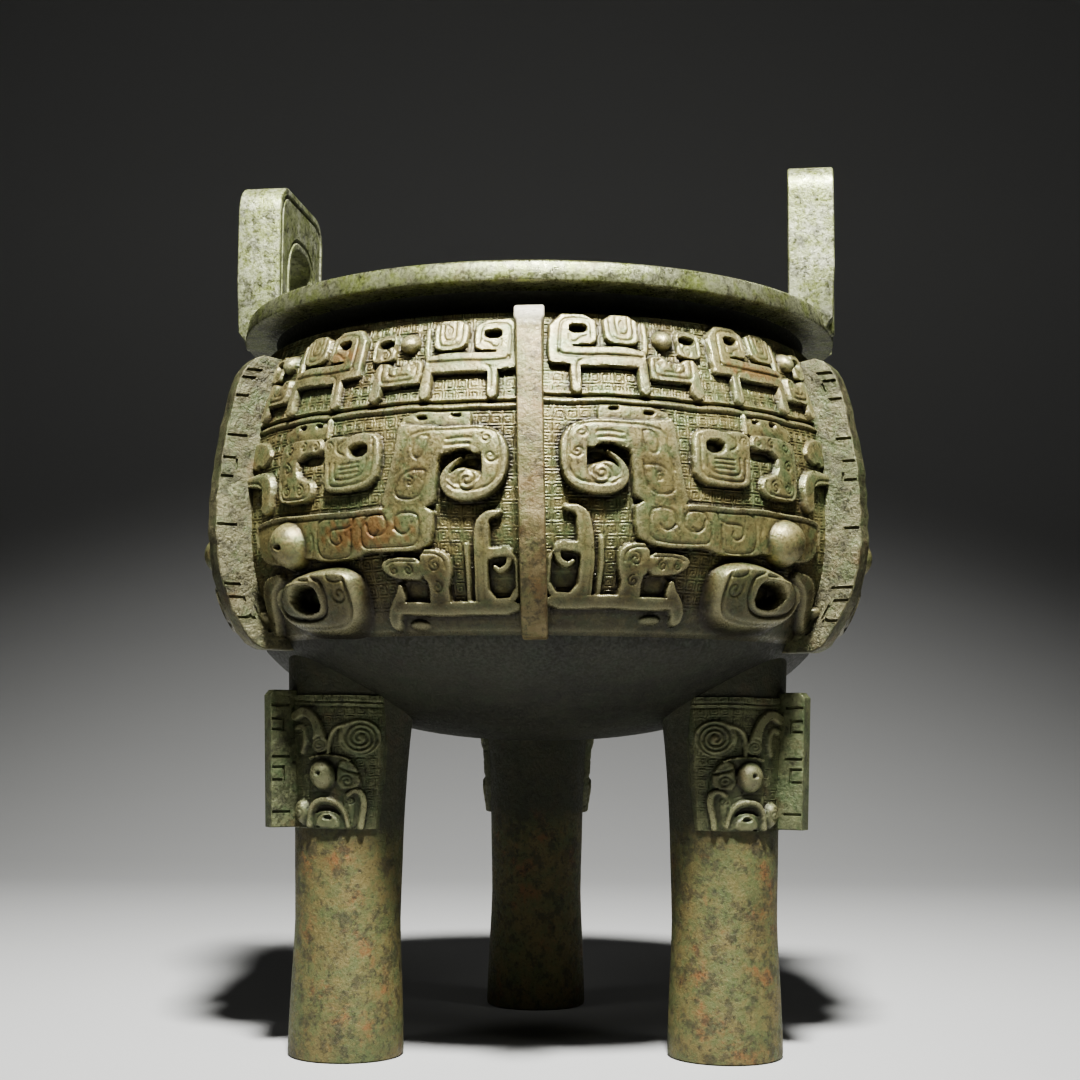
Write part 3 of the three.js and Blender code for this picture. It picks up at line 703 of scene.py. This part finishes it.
# %% A flat plate from its outline
def draw_plate(name, outline, thickness, bevel):
    """Fills an outline of (radius, height) points and gives it thickness, standing at azimuth 0."""
    bpy.ops.object.select_all(action="DESELECT")
    bpy.ops.mesh.primitive_plane_add(size=MM)
    piece = bpy.context.object
    piece.name = name
    bpy.ops.object.mode_set(mode="EDIT")
    bpy.ops.mesh.select_mode(type="VERT")
    bpy.ops.mesh.select_all(action="SELECT")
    bpy.ops.mesh.merge(type="CENTER")
    place = Vector((0, 0, 0))
    for i, (radius, height) in enumerate(outline):
        point = Vector((-thickness / 2, -radius, height)) * MM
        if i == 0:
            bpy.ops.transform.translate(value=point)
        else:
            bpy.ops.mesh.extrude_region_move(TRANSFORM_OT_translate={"value": point - place})
        place = point
    bpy.ops.mesh.select_all(action="SELECT")
    bpy.ops.mesh.edge_face_add()
    across = {"value": (thickness * MM, 0, 0)}
    bpy.ops.mesh.extrude_region_move(TRANSFORM_OT_translate=across)
    bpy.ops.mesh.select_all(action="SELECT")
    bpy.ops.mesh.normals_make_consistent(inside=False)
    bpy.ops.mesh.select_mode(type="EDGE")
    bpy.ops.mesh.select_all(action="DESELECT")
    form = bmesh.from_edit_mesh(piece.data)
    for edge in form.edges:
        sides = [abs(face.normal.x) > 0.9 for face in edge.link_faces]
        edge.select_set(len(sides) == 2 and sides[0] != sides[1])
    bmesh.update_edit_mesh(piece.data)
    bpy.ops.mesh.bevel(offset=bevel * MM, segments=3, profile=0.6, affect="EDGES")
    bpy.ops.mesh.select_mode(type="FACE")
    bpy.ops.object.mode_set(mode="OBJECT")
    return piece


FLANGE_REACH, FLANGE_ROOT, FLANGE_THICK = 23, 6, 14.5
ROUNDED_EDGE = 1.5


def off_bowl(height, out):
    return float(bowl_radius(height)) + out, float(height)


def flange_outline(foot, top, seed):
    """The outer edge, chipped a little at each point, and the root inside the wall."""
    chance = np.random.default_rng(seed)
    edge = [off_bowl(z, FLANGE_REACH + chance.uniform(-0.8, 0.5))
            for z in np.linspace(foot + 4, top - 12, 26)]
    root = [off_bowl(z, -FLANGE_ROOT) for z in np.linspace(min(top, BAND_TOP), foot, 9)]
    radius = off_bowl(foot, FLANGE_REACH)[0]
    return [(radius - 4, foot + 0.4), (radius - 1, foot + 1.6)] + edge, root


# %% Cuts on the sides of a flange
CUT_WIDTH, CUT_DEPTH = 1.9, 1.3
BAR_IN, BAR_OUT, CUT_END = 7.2, 8.8, 12.0      # the upright of a bracket and the end of a cross cut
SLACK_IN, SLACK_OUT = 1, 0.7                   # because the outer edge is uneven
SLOPE_STEP = 6


def select_broad_faces(form):
    for face in form.faces:
        face.select_set(abs(face.normal.x) > 0.99 and face.calc_area() > 0.001)


def cut_sides(piece, outline, cuts, brackets, straight=False):
    """Presses cross cuts and square brackets into both sides, measured in from the outer edge."""
    heights = [z for _, z in outline]
    radii = [r for r, _ in outline]
    bpy.ops.object.select_all(action="DESELECT")
    bpy.context.view_layer.objects.active = piece
    piece.select_set(True)
    bpy.ops.object.mode_set(mode="EDIT")
    select_broad_faces(bmesh.from_edit_mesh(piece.data))
    bmesh.update_edit_mesh(piece.data)
    for line, width in ((BAR_IN, BAR_IN), (BAR_OUT, BAR_OUT - BAR_IN), (CUT_END, CUT_END - BAR_OUT)):
        if straight:
            bpy.ops.mesh.select_all(action="SELECT")
            foot, top = [Vector((0, line - outline[i][0], outline[i][1])) * MM for i in (0, -1)]
            bpy.ops.mesh.bisect(plane_co=foot, plane_no=(top - foot).cross(Vector((1, 0, 0))))
        else:
            bpy.ops.mesh.inset(thickness=width * MM, use_boundary=True)
    half = CUT_WIDTH / 2
    for level in [z + side * half for z in [*cuts, *sum(brackets, ())] for side in (-1, 1)]:
        bpy.ops.mesh.select_all(action="SELECT")
        bpy.ops.mesh.bisect(plane_co=(0, 0, level * MM), plane_no=(0, 0, 1))
    bpy.ops.mesh.select_all(action="DESELECT")
    form = bmesh.from_edit_mesh(piece.data)
    for face in form.faces:
        if abs(face.normal.x) < 0.99:
            continue
        middle = face.calc_center_median() / MM
        above, below = np.interp([middle.z + SLOPE_STEP, middle.z - SLOPE_STEP], heights, radii)
        slope = (above - below) / (2 * SLOPE_STEP)
        deep = (np.interp(middle.z, heights, radii) + middle.y) / np.hypot(1, slope)
        outer = deep < BAR_OUT + SLACK_OUT
        crossing = any(abs(middle.z - z) < half for z in cuts) and deep < CUT_END
        rail = any(abs(middle.z - z) < half for pair in brackets for z in pair) and outer
        upright = any(low - half < middle.z < high + half for low, high in brackets)
        face.select_set(bool(crossing or rail or (upright and outer and deep > BAR_IN - SLACK_IN)))
    bmesh.update_edit_mesh(piece.data)
    bpy.ops.mesh.inset(thickness=0.3 * MM, depth=-CUT_DEPTH * MM)
    bpy.ops.object.mode_set(mode="OBJECT")


def settle(piece, matrix):
    """Puts a piece in place in its mesh, so that its object stays at the origin."""
    piece.data.transform(matrix)
    piece.data.update()
    outward_normals(piece)
    bpy.ops.object.shade_smooth_by_angle(angle=radians(32))


flanges = []
for number, azimuth in enumerate(LEG_ANGLES):
    edge, root = flange_outline(243, 423, number)
    shoulder = [(off_bowl(417, 21.4)[0], 416.5), (off_bowl(421, 18.5)[0], 420.6),
                (off_bowl(423, 14)[0], 422.8), (off_bowl(423, 2)[0], 421.4)]
    nose = draw_plate(f"nose_flange_{number + 1}", edge + shoulder + root, FLANGE_THICK, ROUNDED_EDGE)
    cut_sides(nose, edge, (413, 371.8, 317.4, 281.8), ((396.5, 408), (346.5, 358), (262, 274)))
    settle(nose, Matrix.Rotation(radians(azimuth), 4, "Z"))
    flanges.append(nose)
for number, azimuth in enumerate((120, -120, 0)):
    edge, root = flange_outline(246, 434, 10 + number)
    shoulder = [(off_bowl(425, 20)[0], 425.5), (off_bowl(430, 14.5)[0], 431.5), off_bowl(434, 11),
                (NECK_RADIUS - 4, 434)]
    plain = draw_plate(f"dividing_flange_{number + 1}", edge + shoulder + root, FLANGE_THICK, ROUNDED_EDGE)
    place = Matrix.Rotation(radians(azimuth), 4, "Z")
    if azimuth == 0:
        # the front one leans a little and has a broader head
        hinge = Matrix.Translation((0, 0, BELLY_HEIGHT * MM))
        lean = hinge @ Matrix.Rotation(radians(-1.4), 4, "Y") @ hinge.inverted()
        place = Matrix.Rotation(radians(-1), 4, "Z") @ lean
        for vertex in plain.data.vertices:
            if vertex.co.z > 424 * MM:
                vertex.co.x *= 1.18
    settle(plain, place)
    flanges.append(plain)
print("flanges", [(f.name, len(f.data.polygons)) for f in flanges])

# %% [markdown]
# ## Handles
# Each loop handle is an upside-down U of flat bar that stands on the lip. It is drawn and given its
# thickness as the flanges are. Its foot runs down over the round edge of the lip, so the lowest corners
# are drawn in towards the lip, and its broad faces get a shallow sunk field inside a plain border.

# %% Handles
HALF_WIDTH, HANDLE_TOP, CORNER = 53, 558, 20
LOOP_HALF, LOOP_TOP, LOOP_CORNER = 27, 522, 21
LAP, LAP_IN = 12, 7.5     # the foot is drawn in over this height, and by this much at the bottom


def arc(centre_x, centre_z, radius, start, end, count=7):
    turns = [radians(start + (end - start) * i / (count - 1)) for i in range(count)]
    return [(centre_x + radius * cos(t), centre_z + radius * sin(t)) for t in turns]


def handle(name, azimuth, seed):
    chance = np.random.default_rng(seed)
    top = HANDLE_TOP - 0.6
    outer = [(HALF_WIDTH - 3, LIP_FOOT + 1), (HALF_WIDTH, LIP_FOOT + 8), (HALF_WIDTH, 490),
             *arc(HALF_WIDTH - CORNER, top - CORNER, CORNER, 0, 90), (0, top),
             *arc(CORNER - HALF_WIDTH, top - CORNER, CORNER, 90, 180),
             (-HALF_WIDTH, 490), (-HALF_WIDTH, LIP_FOOT + 8), (3 - HALF_WIDTH, LIP_FOOT + 1)]
    inner = [(-LOOP_HALF, LIP_FOOT + 1), (-LOOP_HALF, 480),
             *arc(LOOP_CORNER - LOOP_HALF, LOOP_TOP - LOOP_CORNER, LOOP_CORNER, 180, 90),
             *arc(LOOP_HALF - LOOP_CORNER, LOOP_TOP - LOOP_CORNER, LOOP_CORNER, 90, 0),
             (LOOP_HALF, 480), (LOOP_HALF, LIP_FOOT + 1)]
    outline = [(x + chance.uniform(-0.25, 0.25), z) for x, z in outer + inner]
    depth = LIP_RADIUS - MOUTH_RADIUS
    piece = draw_plate(name, outline, depth, 1.6)
    bpy.ops.object.mode_set(mode="EDIT")
    select_broad_faces(bmesh.from_edit_mesh(piece.data))
    bmesh.update_edit_mesh(piece.data)
    for thickness, rise in ((2.6, 0), (0.7, -0.9), (2.2, 0), (0.6, 0.7)):
        bpy.ops.mesh.inset(thickness=thickness * MM, depth=rise * MM)
    bpy.ops.object.mode_set(mode="OBJECT")
    for vertex in piece.data.vertices:
        x, along, z = vertex.co / MM
        if x > 0 and abs(along) > 30 and z < LIP_FOOT + LAP:
            vertex.co.x -= LAP_IN * MM * ((LIP_FOOT + LAP - z) / LAP) ** 1.3
    swing = Matrix.Translation(((MOUTH_RADIUS + LIP_RADIUS) / 2 * MM, 0, 0))
    settle(piece, Matrix.Rotation(radians(azimuth - 90), 4, "Z") @ swing)
    return piece


handles = [handle("handle_right", 82, 21), handle("handle_left", -98, 22)]
print("handles", [round(1000 * v) for v in handles[0].dimensions])

# %% [markdown]
# ## Legs
# Each leg is a column that narrows to a waist and swells again under the bowl. Its mask is carved on a
# sheet as the band is, wrapped round the head of the column; a short flange stands in its middle. The
# top of the column follows the underside of the bowl, a few millimetres inside its wall.

# %% Columns
LEG_PROFILE = [(0, 0), (33.4, 0), (34.7, 0.9), (35, 3), (34.7, 18), (33.7, 42), (32.5, 66), (32.1, 80),
               (32.4, 98), (32.9, 116), (33.2, 132), (33.5, 140), (34, 152), (35, 170), (36.4, 188),
               (37.6, 200)]
LEG_HEAD = [(38.4, 208), (39.4, 218), (33, 219), (22, 219), (11, 219), (0, 219)]
HEAD_FOOT = 215           # points above this follow the bowl, a few millimetres inside its wall


def leg_radius(height):
    return np.interp(height, (130, 155, 195, 216), (33.3, 36, 39, 39))


def leg_column(name, azimuth):
    centre = (LEG_CIRCLE * sin(radians(azimuth)), -LEG_CIRCLE * cos(radians(azimuth)))
    piece = spin_outline(name, LEG_PROFILE + LEG_HEAD, 96, centre)
    for vertex in piece.data.vertices:
        if vertex.co.z > HEAD_FOOT * MM:
            reach = min(vertex.co.xy.length / MM / BELLY_RADIUS, 1)
            under = BELLY_HEIGHT - BELLY_DEPTH * (1 - reach ** FULLNESS) ** (1 / FULLNESS)
            vertex.co.z = (under + 4) * MM
    return piece


columns = [leg_column(f"leg_{i + 1}", azimuth) for i, azimuth in enumerate(LEG_ANGLES)]
print("legs", [len(c.data.polygons) for c in columns])

# %% Half of a leg mask
MASK_FOOT, MASK_TOP = 136.5, 216
MASK_REACH, MASK_DEGREE = 103, 0.62            # degrees to each side, and mm round the leg to a degree
MASK_FINE, MASK_COARSE = ((0.66, 1.1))


def carve_leg_mask(step, seed):
    half = Sheet(MASK_REACH, MASK_FOOT, MASK_TOP, MASK_DEGREE, step, seed)
    half.thunder_ground(0.9, 6.2)
    half.height += 1
    half.plate([(26, 140), (27, 160), (30, 181), (64, 180), (72, 177.4), (77, 168), (80, 158), (79, 137),
                (30, 137)], 2.1, 1)
    half.plate([(54, 161), (55, 176), (61, 178.6), (69, 177), (74, 171.4), (76.5, 165), (72, 160.6)], 3.7)
    half.plate([(59.5, 158.6), (68, 159), (71, 153), (70, 144), (68, 137.4), (60, 137.4)], 3)
    half.strap([(65, 157.6), (70, 160.4), (77, 158.4, 4.2), (79, 151), (76.8, 144.6), (75.5, 138)], 3, 4.4)
    half.strap([(26, 138), (27.5, 146), (34, 152.6), (44, 154.4), (55, 152.8), (61.5, 147), (64, 139)],
               3.2, 4.6)
    half.plate([(33, 137), (34, 142.5), (41, 146), (49, 146), (56, 142), (57, 137)], 3.6)
    half.sink([(31.5, 145), (36, 150.2), (44, 151.4), (53, 149.8), (58, 145), (50, 147.6),
               (40, 147.6)], 0.2)
    half.sink([(40, 142.4), (42, 145), (48, 145), (49.5, 142.2)], 1.4)
    half.boss((17.5, 146), 6, 8, 6.6)
    half.strap([(11, 203), (22, 207), (33, 203), (37.5, 195), (38.6, 186.5, 10)], 6, 3.9)
    half.strap([(12, 196), (21, 198), (24, 190), (20, 182)], 3.4, 3)
    disc = [(73 + 20 * cos(t), 191.4 + 11.4 * sin(t)) for t in np.linspace(0, 2 * pi, 17)[:-1]]
    half.plate(disc, 2.9, 2)
    half.strap([(46.5, 181), (46.5, 190), (51, 196.6), (62, 199)], 2.6, 3.5)
    half.curl((73, 191.4), 10.4, 3.1, 1, 200, 1.3, 1.2)
    half.strap([(29, 178.6), (42, 180.4), (58, 179.8), (65, 178)], 1.8, 4)
    half.boss((42, 168.4), 8, 9.4, 9.4)
    half.sink([(39.8, 168), (39.8, 170.8), (43, 170.8), (43, 168)], 7, 0.8)
    half.curl((17.5, 146), 4, 1.5)
    half.curl((38.6, 186.4), 4.6, 2.1, 1, 90, 1.1, 1)
    half.groove([(31, 178), (32, 170), (36, 160.4)], 0.9, 0.9)
    half.groove([(54, 176), (53, 168), (49, 160)], 0.9, 0.9)
    half.curl((64, 165.8), 3.8, 1.5, -1, 180, 1, 0.9)
    half.groove([(57, 173.4), (66, 171.4), (74, 170.4)], 1, 1.2)
    half.curl((66.6, 154.6), 2.8, 1.3, 1, 200, 0.9, 0.8)
    half.groove([(62.5, 156), (63.5, 147), (66, 140)], 0.9, 0.8)
    half.groove([(25, 157.4), (44, 159), (58, 156.4)], 0.7, 0.6)
    for height in (209.4, 212.2):
        half.groove([(8, height), (MASK_REACH, height)], 0.8, 0.9, 0)
    whole = Sheet(2 * MASK_REACH, MASK_FOOT, MASK_TOP, MASK_DEGREE, step, seed)
    whole.across = np.concatenate([-half.across[:0:-1], half.across])
    whole.up, whole.height = half.up, np.hstack([half.height[:, :0:-1], half.height])
    shown = np.clip((MASK_REACH - 2 - np.abs(whole.across)) / 9, 0, 1)
    whole.height = whole.height * shown - 2 * (1 - shown)
    whole.stains = np.zeros(whole.height.shape)
    return whole


def wrap_on_leg(name, sheet, azimuth):
    centre_x, centre_y = (LEG_CIRCLE * sin(radians(azimuth)), -LEG_CIRCLE * cos(radians(azimuth)))

    def place(across, up, height):
        turn = np.radians(azimuth + across)
        radius = leg_radius(up) + height
        return (centre_x + radius * np.sin(turn), centre_y - radius * np.cos(turn), up + 0 * radius)
    return wrap(name, sheet, place, 4)


leg_masks = []
for number, azimuth in enumerate(LEG_ANGLES):
    sheet = carve_leg_mask(MASK_COARSE if azimuth == 180 else MASK_FINE, 30 + number)
    mask = wrap_on_leg(f"leg_mask_{number + 1}", sheet, azimuth)
    leg_masks.append(mask)
    print(mask.name, len(mask.data.polygons), "faces")

# %% Flanges of the legs
for number, azimuth in enumerate(LEG_ANGLES):
    edge = [(53.2 + 0.032 * (z - 137), float(z)) for z in np.linspace(137, 216, 8)]
    root = [(53, 219.2), (28, 219.2), (28, 137)]
    plain = draw_plate(f"leg_flange_{number + 1}", edge + root, 11, 1.2)
    cut_sides(plain, edge, (146.3, 179.2, 210), ((165.4, 173), (195.5, 202)), straight=True)
    outwards = Matrix.Translation((0, -LEG_CIRCLE * MM, 0))
    settle(plain, Matrix.Rotation(radians(azimuth), 4, "Z") @ outwards)
    flanges.append(plain)
print("leg flanges", [f.name for f in flanges[6:]])

# %% [markdown]
# ## Patina
# The metal is tin bronze that lay buried. Under the crust it is a dull brown yellow metal; over it lie
# cuprite, a red brown copper oxide, and malachite, a green copper carbonate, with dark earth in every
# hollow. Cast bronze like this looks blotched at three sizes: clouds a few fingers wide, blotches of
# about a centimetre, and a fine sandy crust. Rubbed edges show more metal and shine more; raised plates
# are also painted lighter, as a painted highlight. One recipe makes all the finishes, as one patina that
# differs in how much of each layer shows; some finishes also carry painted shade or painted light.

# %% Colour and nodes
def linear(hex_colour):
    """sRGB hex to the linear numbers that a shader takes."""
    parts = [int(hex_colour[i:i + 2], 16) / 255 for i in (1, 3, 5)]
    return (*[c / 12.92 if c <= 0.04045 else ((c + 0.055) / 1.055) ** 2.4 for c in parts], 1)


def add_node(tree, kind, inputs, **settings):
    """Adds a node; an input is a value, or a socket to link from."""
    made = tree.nodes.new(kind)
    for name, value in settings.items():
        setattr(made, name, value)
    for socket, value in inputs.items():
        if isinstance(value, bpy.types.NodeSocket):
            tree.links.new(value, made.inputs[socket])
        else:
            made.inputs[socket].default_value = value
    return made


print("pale malachite", "#85876c", "in linear numbers", [round(part, 3) for part in linear("#85876c")])

# %% The layers of the patina
FACTOR, FIRST, SECOND, MIXED = 0, 6, 7, 2      # sockets of a Mix node that mixes colours
CLOUD, BLOTCH = 60, 13    # mm across, judged from the photograph
CRUST = 1.9               # mm across; real grains are 0.2 to 0.5 mm, drawn this coarse so that they show
EARTH, PIT, CUPRITE = "#23211a", "#1b1a12", "#704c2a"
# the second colour lightens raised points: rubbed metal, and also a painted highlight
HOLLOW, RUBBED_AND_HIGHLIGHT = "#1d1812", "#a5a07c"
NO_ZONE = (900, 1000, EARTH)                   # starts above the vessel


def patina(name, colours, amounts, gloss=0.5, bare=0.35, pits=0.25, zone=NO_ZONE):
    """Cast tin bronze under patina. `colours` are base, pale, green and rust, and `amounts` (0 to 1) say
    how much of the last three and of dark earth shows. `gloss` is the roughness, which is high for a
    metal because of the crust, `bare` is how metallic it looks, and `pits` is their depth in mm. `zone`
    is two heights and the colour that the finish blends to from the first to the second."""
    material = bpy.data.materials.new(name)
    material.use_nodes = True
    tree = material.node_tree
    shader = tree.nodes["Principled BSDF"]
    place = add_node(tree, "ShaderNodeTexCoord", {}).outputs["Object"]

    def patches(size, threshold, softness, detail=5.0, offset=0.0, roughness=0.6):
        spot = add_node(tree, "ShaderNodeMapping", {
            "Vector": place, "Location": (offset, 2 * offset, -offset)})
        noise = add_node(tree, "ShaderNodeTexNoise", {
            "Vector": spot.outputs[0], "Scale": 1 / (size * MM), "Detail": detail, "Roughness": roughness})
        return add_node(tree, "ShaderNodeMapRange", {
            "Value": noise.outputs["Fac"], "From Min": threshold - softness,
            "From Max": threshold + softness}, interpolation_type="SMOOTHSTEP").outputs[0]

    def over(below, colour, mask, strength=1.0):
        share = add_node(tree, "ShaderNodeMath", {0: mask, 1: strength}, operation="MULTIPLY").outputs[0]
        mixed = add_node(tree, "ShaderNodeMix", {FACTOR: share, FIRST: below, SECOND: linear(colour)},
                         data_type="RGBA")
        return mixed.outputs[MIXED]

    base, pale, green, rust = colours
    pale_amount, green_amount, rust_amount, earth_amount = amounts
    layers = (
        (pale, 0.8, patches(CLOUD, 0.62 - 0.24 * pale_amount, 0.12)),
        (green, 0.55, patches(CLOUD * 0.55, 0.66 - 0.2 * green_amount, 0.08, 7.0, 2.9)),
        (pale, 0.55, patches(BLOTCH * 0.5, 0.60 - 0.12 * pale_amount, 0.07, offset=3.1)),
        (green, 0.65, patches(BLOTCH * 0.8, 0.64 - 0.16 * green_amount, 0.07, 8.0, 1.7, 0.7)),
        (rust, 0.6, patches(BLOTCH * 1.8, 0.68 - 0.16 * rust_amount, 0.07, 8.0, 5.3, 0.7)),
        (EARTH, 0.65, patches(BLOTCH * 0.7, 0.66 - 0.14 * earth_amount, 0.05, 8.0, 8.3, 0.72)),
        (PIT, 0.6, patches(CRUST * 1.4, 0.64, 0.05, 2.0, 7.7)),
    )
    colour = linear(base)
    for layer, strength, mask in layers:
        colour = over(colour, layer, mask, strength)
    crust = patches(CRUST, 0.5, 0.16, 3.0, 0.9)
    colour = over(colour, pale, crust, 0.22)
    hollow, rubbed_and_highlight, stained = [
        add_node(tree, "ShaderNodeAttribute", {}, attribute_name=layer).outputs["Fac"]
        for layer in ("hollow", "rubbed_and_highlight", "stained")]
    height = add_node(tree, "ShaderNodeSeparateXYZ", {"Vector": place}).outputs["Z"]
    start, end, zone_colour = zone
    within = add_node(tree, "ShaderNodeMapRange", {
        "Value": height, "From Min": start * MM, "From Max": end * MM}).outputs[0]
    colour = over(colour, CUPRITE, stained, 0.6)
    # the zone paints shade: the foot of the band and the heads of the legs are darkened this way
    colour = over(colour, zone_colour, within, 0.8)
    colour = over(colour, HOLLOW, hollow, 0.85)
    # raised points are painted lighter: partly rubbed wear, partly a painted highlight on the plates
    colour = over(colour, RUBBED_AND_HIGHLIGHT, rubbed_and_highlight, 0.35)
    tree.links.new(colour, shader.inputs["Base Color"])
    rough = add_node(tree, "ShaderNodeMapRange", {
        "Value": crust, "To Min": gloss - 0.07, "To Max": gloss + 0.2})
    worn = add_node(tree, "ShaderNodeMath", {0: rubbed_and_highlight, 1: -0.12, 2: rough.outputs[0]},
                    operation="MULTIPLY_ADD")
    tree.links.new(worn.outputs[0], shader.inputs["Roughness"])
    shader.inputs["Metallic"].default_value = bare
    grain = patches(CRUST, 0.5, 0.3, 6.0, 0.9, 0.7)
    dents = patches(BLOTCH * 0.8, 0.5, 0.4, 3.0, 4.4)
    rise = add_node(tree, "ShaderNodeMath", {0: dents, 1: 2.2, 2: grain}, operation="MULTIPLY_ADD")
    bump = add_node(tree, "ShaderNodeBump", {
        "Height": rise.outputs[0], "Strength": 0.7, "Distance": pits * MM})
    tree.links.new(bump.outputs[0], shader.inputs["Normal"])
    return material


# %% Finishes of this vessel
FINISHES = {
    # olive and tan, shiny on the rubbed plates, which also get a painted highlight, and brown black in the
    # ground;
    # its foot is darkened with painted shade
    "band": dict(colours=("#4c4229", "#7f774f", "#4f6140", "#674a28"), amounts=(0.5, 0.6, 0.1, 0.5),
                 gloss=0.34, bare=0.5, zone=(BAND_FOOT + 46, BAND_FOOT, "#22221a")),
    # nearly black and dull; the darkness is painted shade on the underside, neck and inside, which face
    # away from the light
    "bowl": dict(colours=("#18180f", "#2c2d20", "#232b1a", "#2a2119"), amounts=(0.35, 0.4, 0.2, 0.4),
                 gloss=0.55, bare=0.1),
    # pale grey green with moss green patches, smooth enough to catch a long highlight
    "lip": dict(colours=("#4b4d35", "#85876c", "#656f30", "#4a3f28"), amounts=(0.5, 0.65, 0.5, 0.7),
                gloss=0.27, bare=0.65, pits=0.2),
    # the palest, grey white with yellow green patches and small dark pits; partly painted light, kept
    # paler than the lip because the handles face the lamp
    "handle": dict(colours=("#6b6e54", "#a9ab92", "#6b7434", "#4b4830"), amounts=(0.6, 0.9, 0.4, 0.75),
                   gloss=0.33, bare=0.5, pits=0.2),
    # tan over red brown, with a head that turns nearly white
    "front": dict(colours=("#55452a", "#7b7050", "#565c38", "#6c4a26"), amounts=(0.55, 0.6, 0.3, 0.7),
                  gloss=0.42, bare=0.45, pits=0.35, zone=(418, 430, "#c9c5b4")),
    # matt, blotched tan, green and rust; painted shade darkens the heads under the bowl
    "legs": dict(colours=("#37341e", "#625936", "#455131", "#764629"), amounts=(0.68, 0.72, 0.42, 0.85),
                 gloss=0.5, bare=0.2, pits=0.3, zone=(126, 142, "#33362a")),
    # grey green and half dull
    "mask": dict(colours=("#3a3d2a", "#6c6f50", "#435236", "#57442c"), amounts=(0.45, 0.5, 0.3, 0.6),
                 gloss=0.4, bare=0.4, pits=0.35),
    # the same with more tan and the deepest pits
    "flange": dict(colours=("#433f2c", "#737054", "#4a5637", "#57432b"), amounts=(0.5, 0.5, 0.3, 0.85),
                   gloss=0.4, bare=0.5, pits=0.6),
}
finishes = {name: patina(f"patinated_bronze_{name}", **layers) for name, layers in FINISHES.items()}

for name, pieces in (("bowl", [bowl]), ("band", panels), ("flange", flanges[:5]), ("front", flanges[5:6]),
                     ("mask", flanges[6:] + leg_masks), ("handle", handles), ("legs", columns)):
    for piece in pieces:
        piece.data.materials.clear()
        piece.data.materials.append(finishes[name])
    print(name, [piece.name for piece in pieces])

bowl.data.materials.append(finishes["lip"])
for face in bowl.data.polygons:
    if face.center.z > (LIP_FOOT - 0.5) * MM and face.center.xy.length > MOUTH_RADIUS * MM:
        face.material_index = 1

# %% Paint of the floor
pale_floor = bpy.data.materials.new("matt_floor_paint")
pale_floor.use_nodes = True
paint = pale_floor.node_tree.nodes["Principled BSDF"].inputs
paint["Base Color"].default_value = linear("#969694")
paint["Roughness"].default_value = 0.75        # matt paint scatters light and has no sharp highlight
floor.data.materials.append(pale_floor)
print("floor", pale_floor.name)

# %% Riding on the body, and hiding the model's own part
for piece in [bowl, *panels, *flanges, *handles, *columns, *leg_masks]:
    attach(piece, "root")
    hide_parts("ding_vessel")
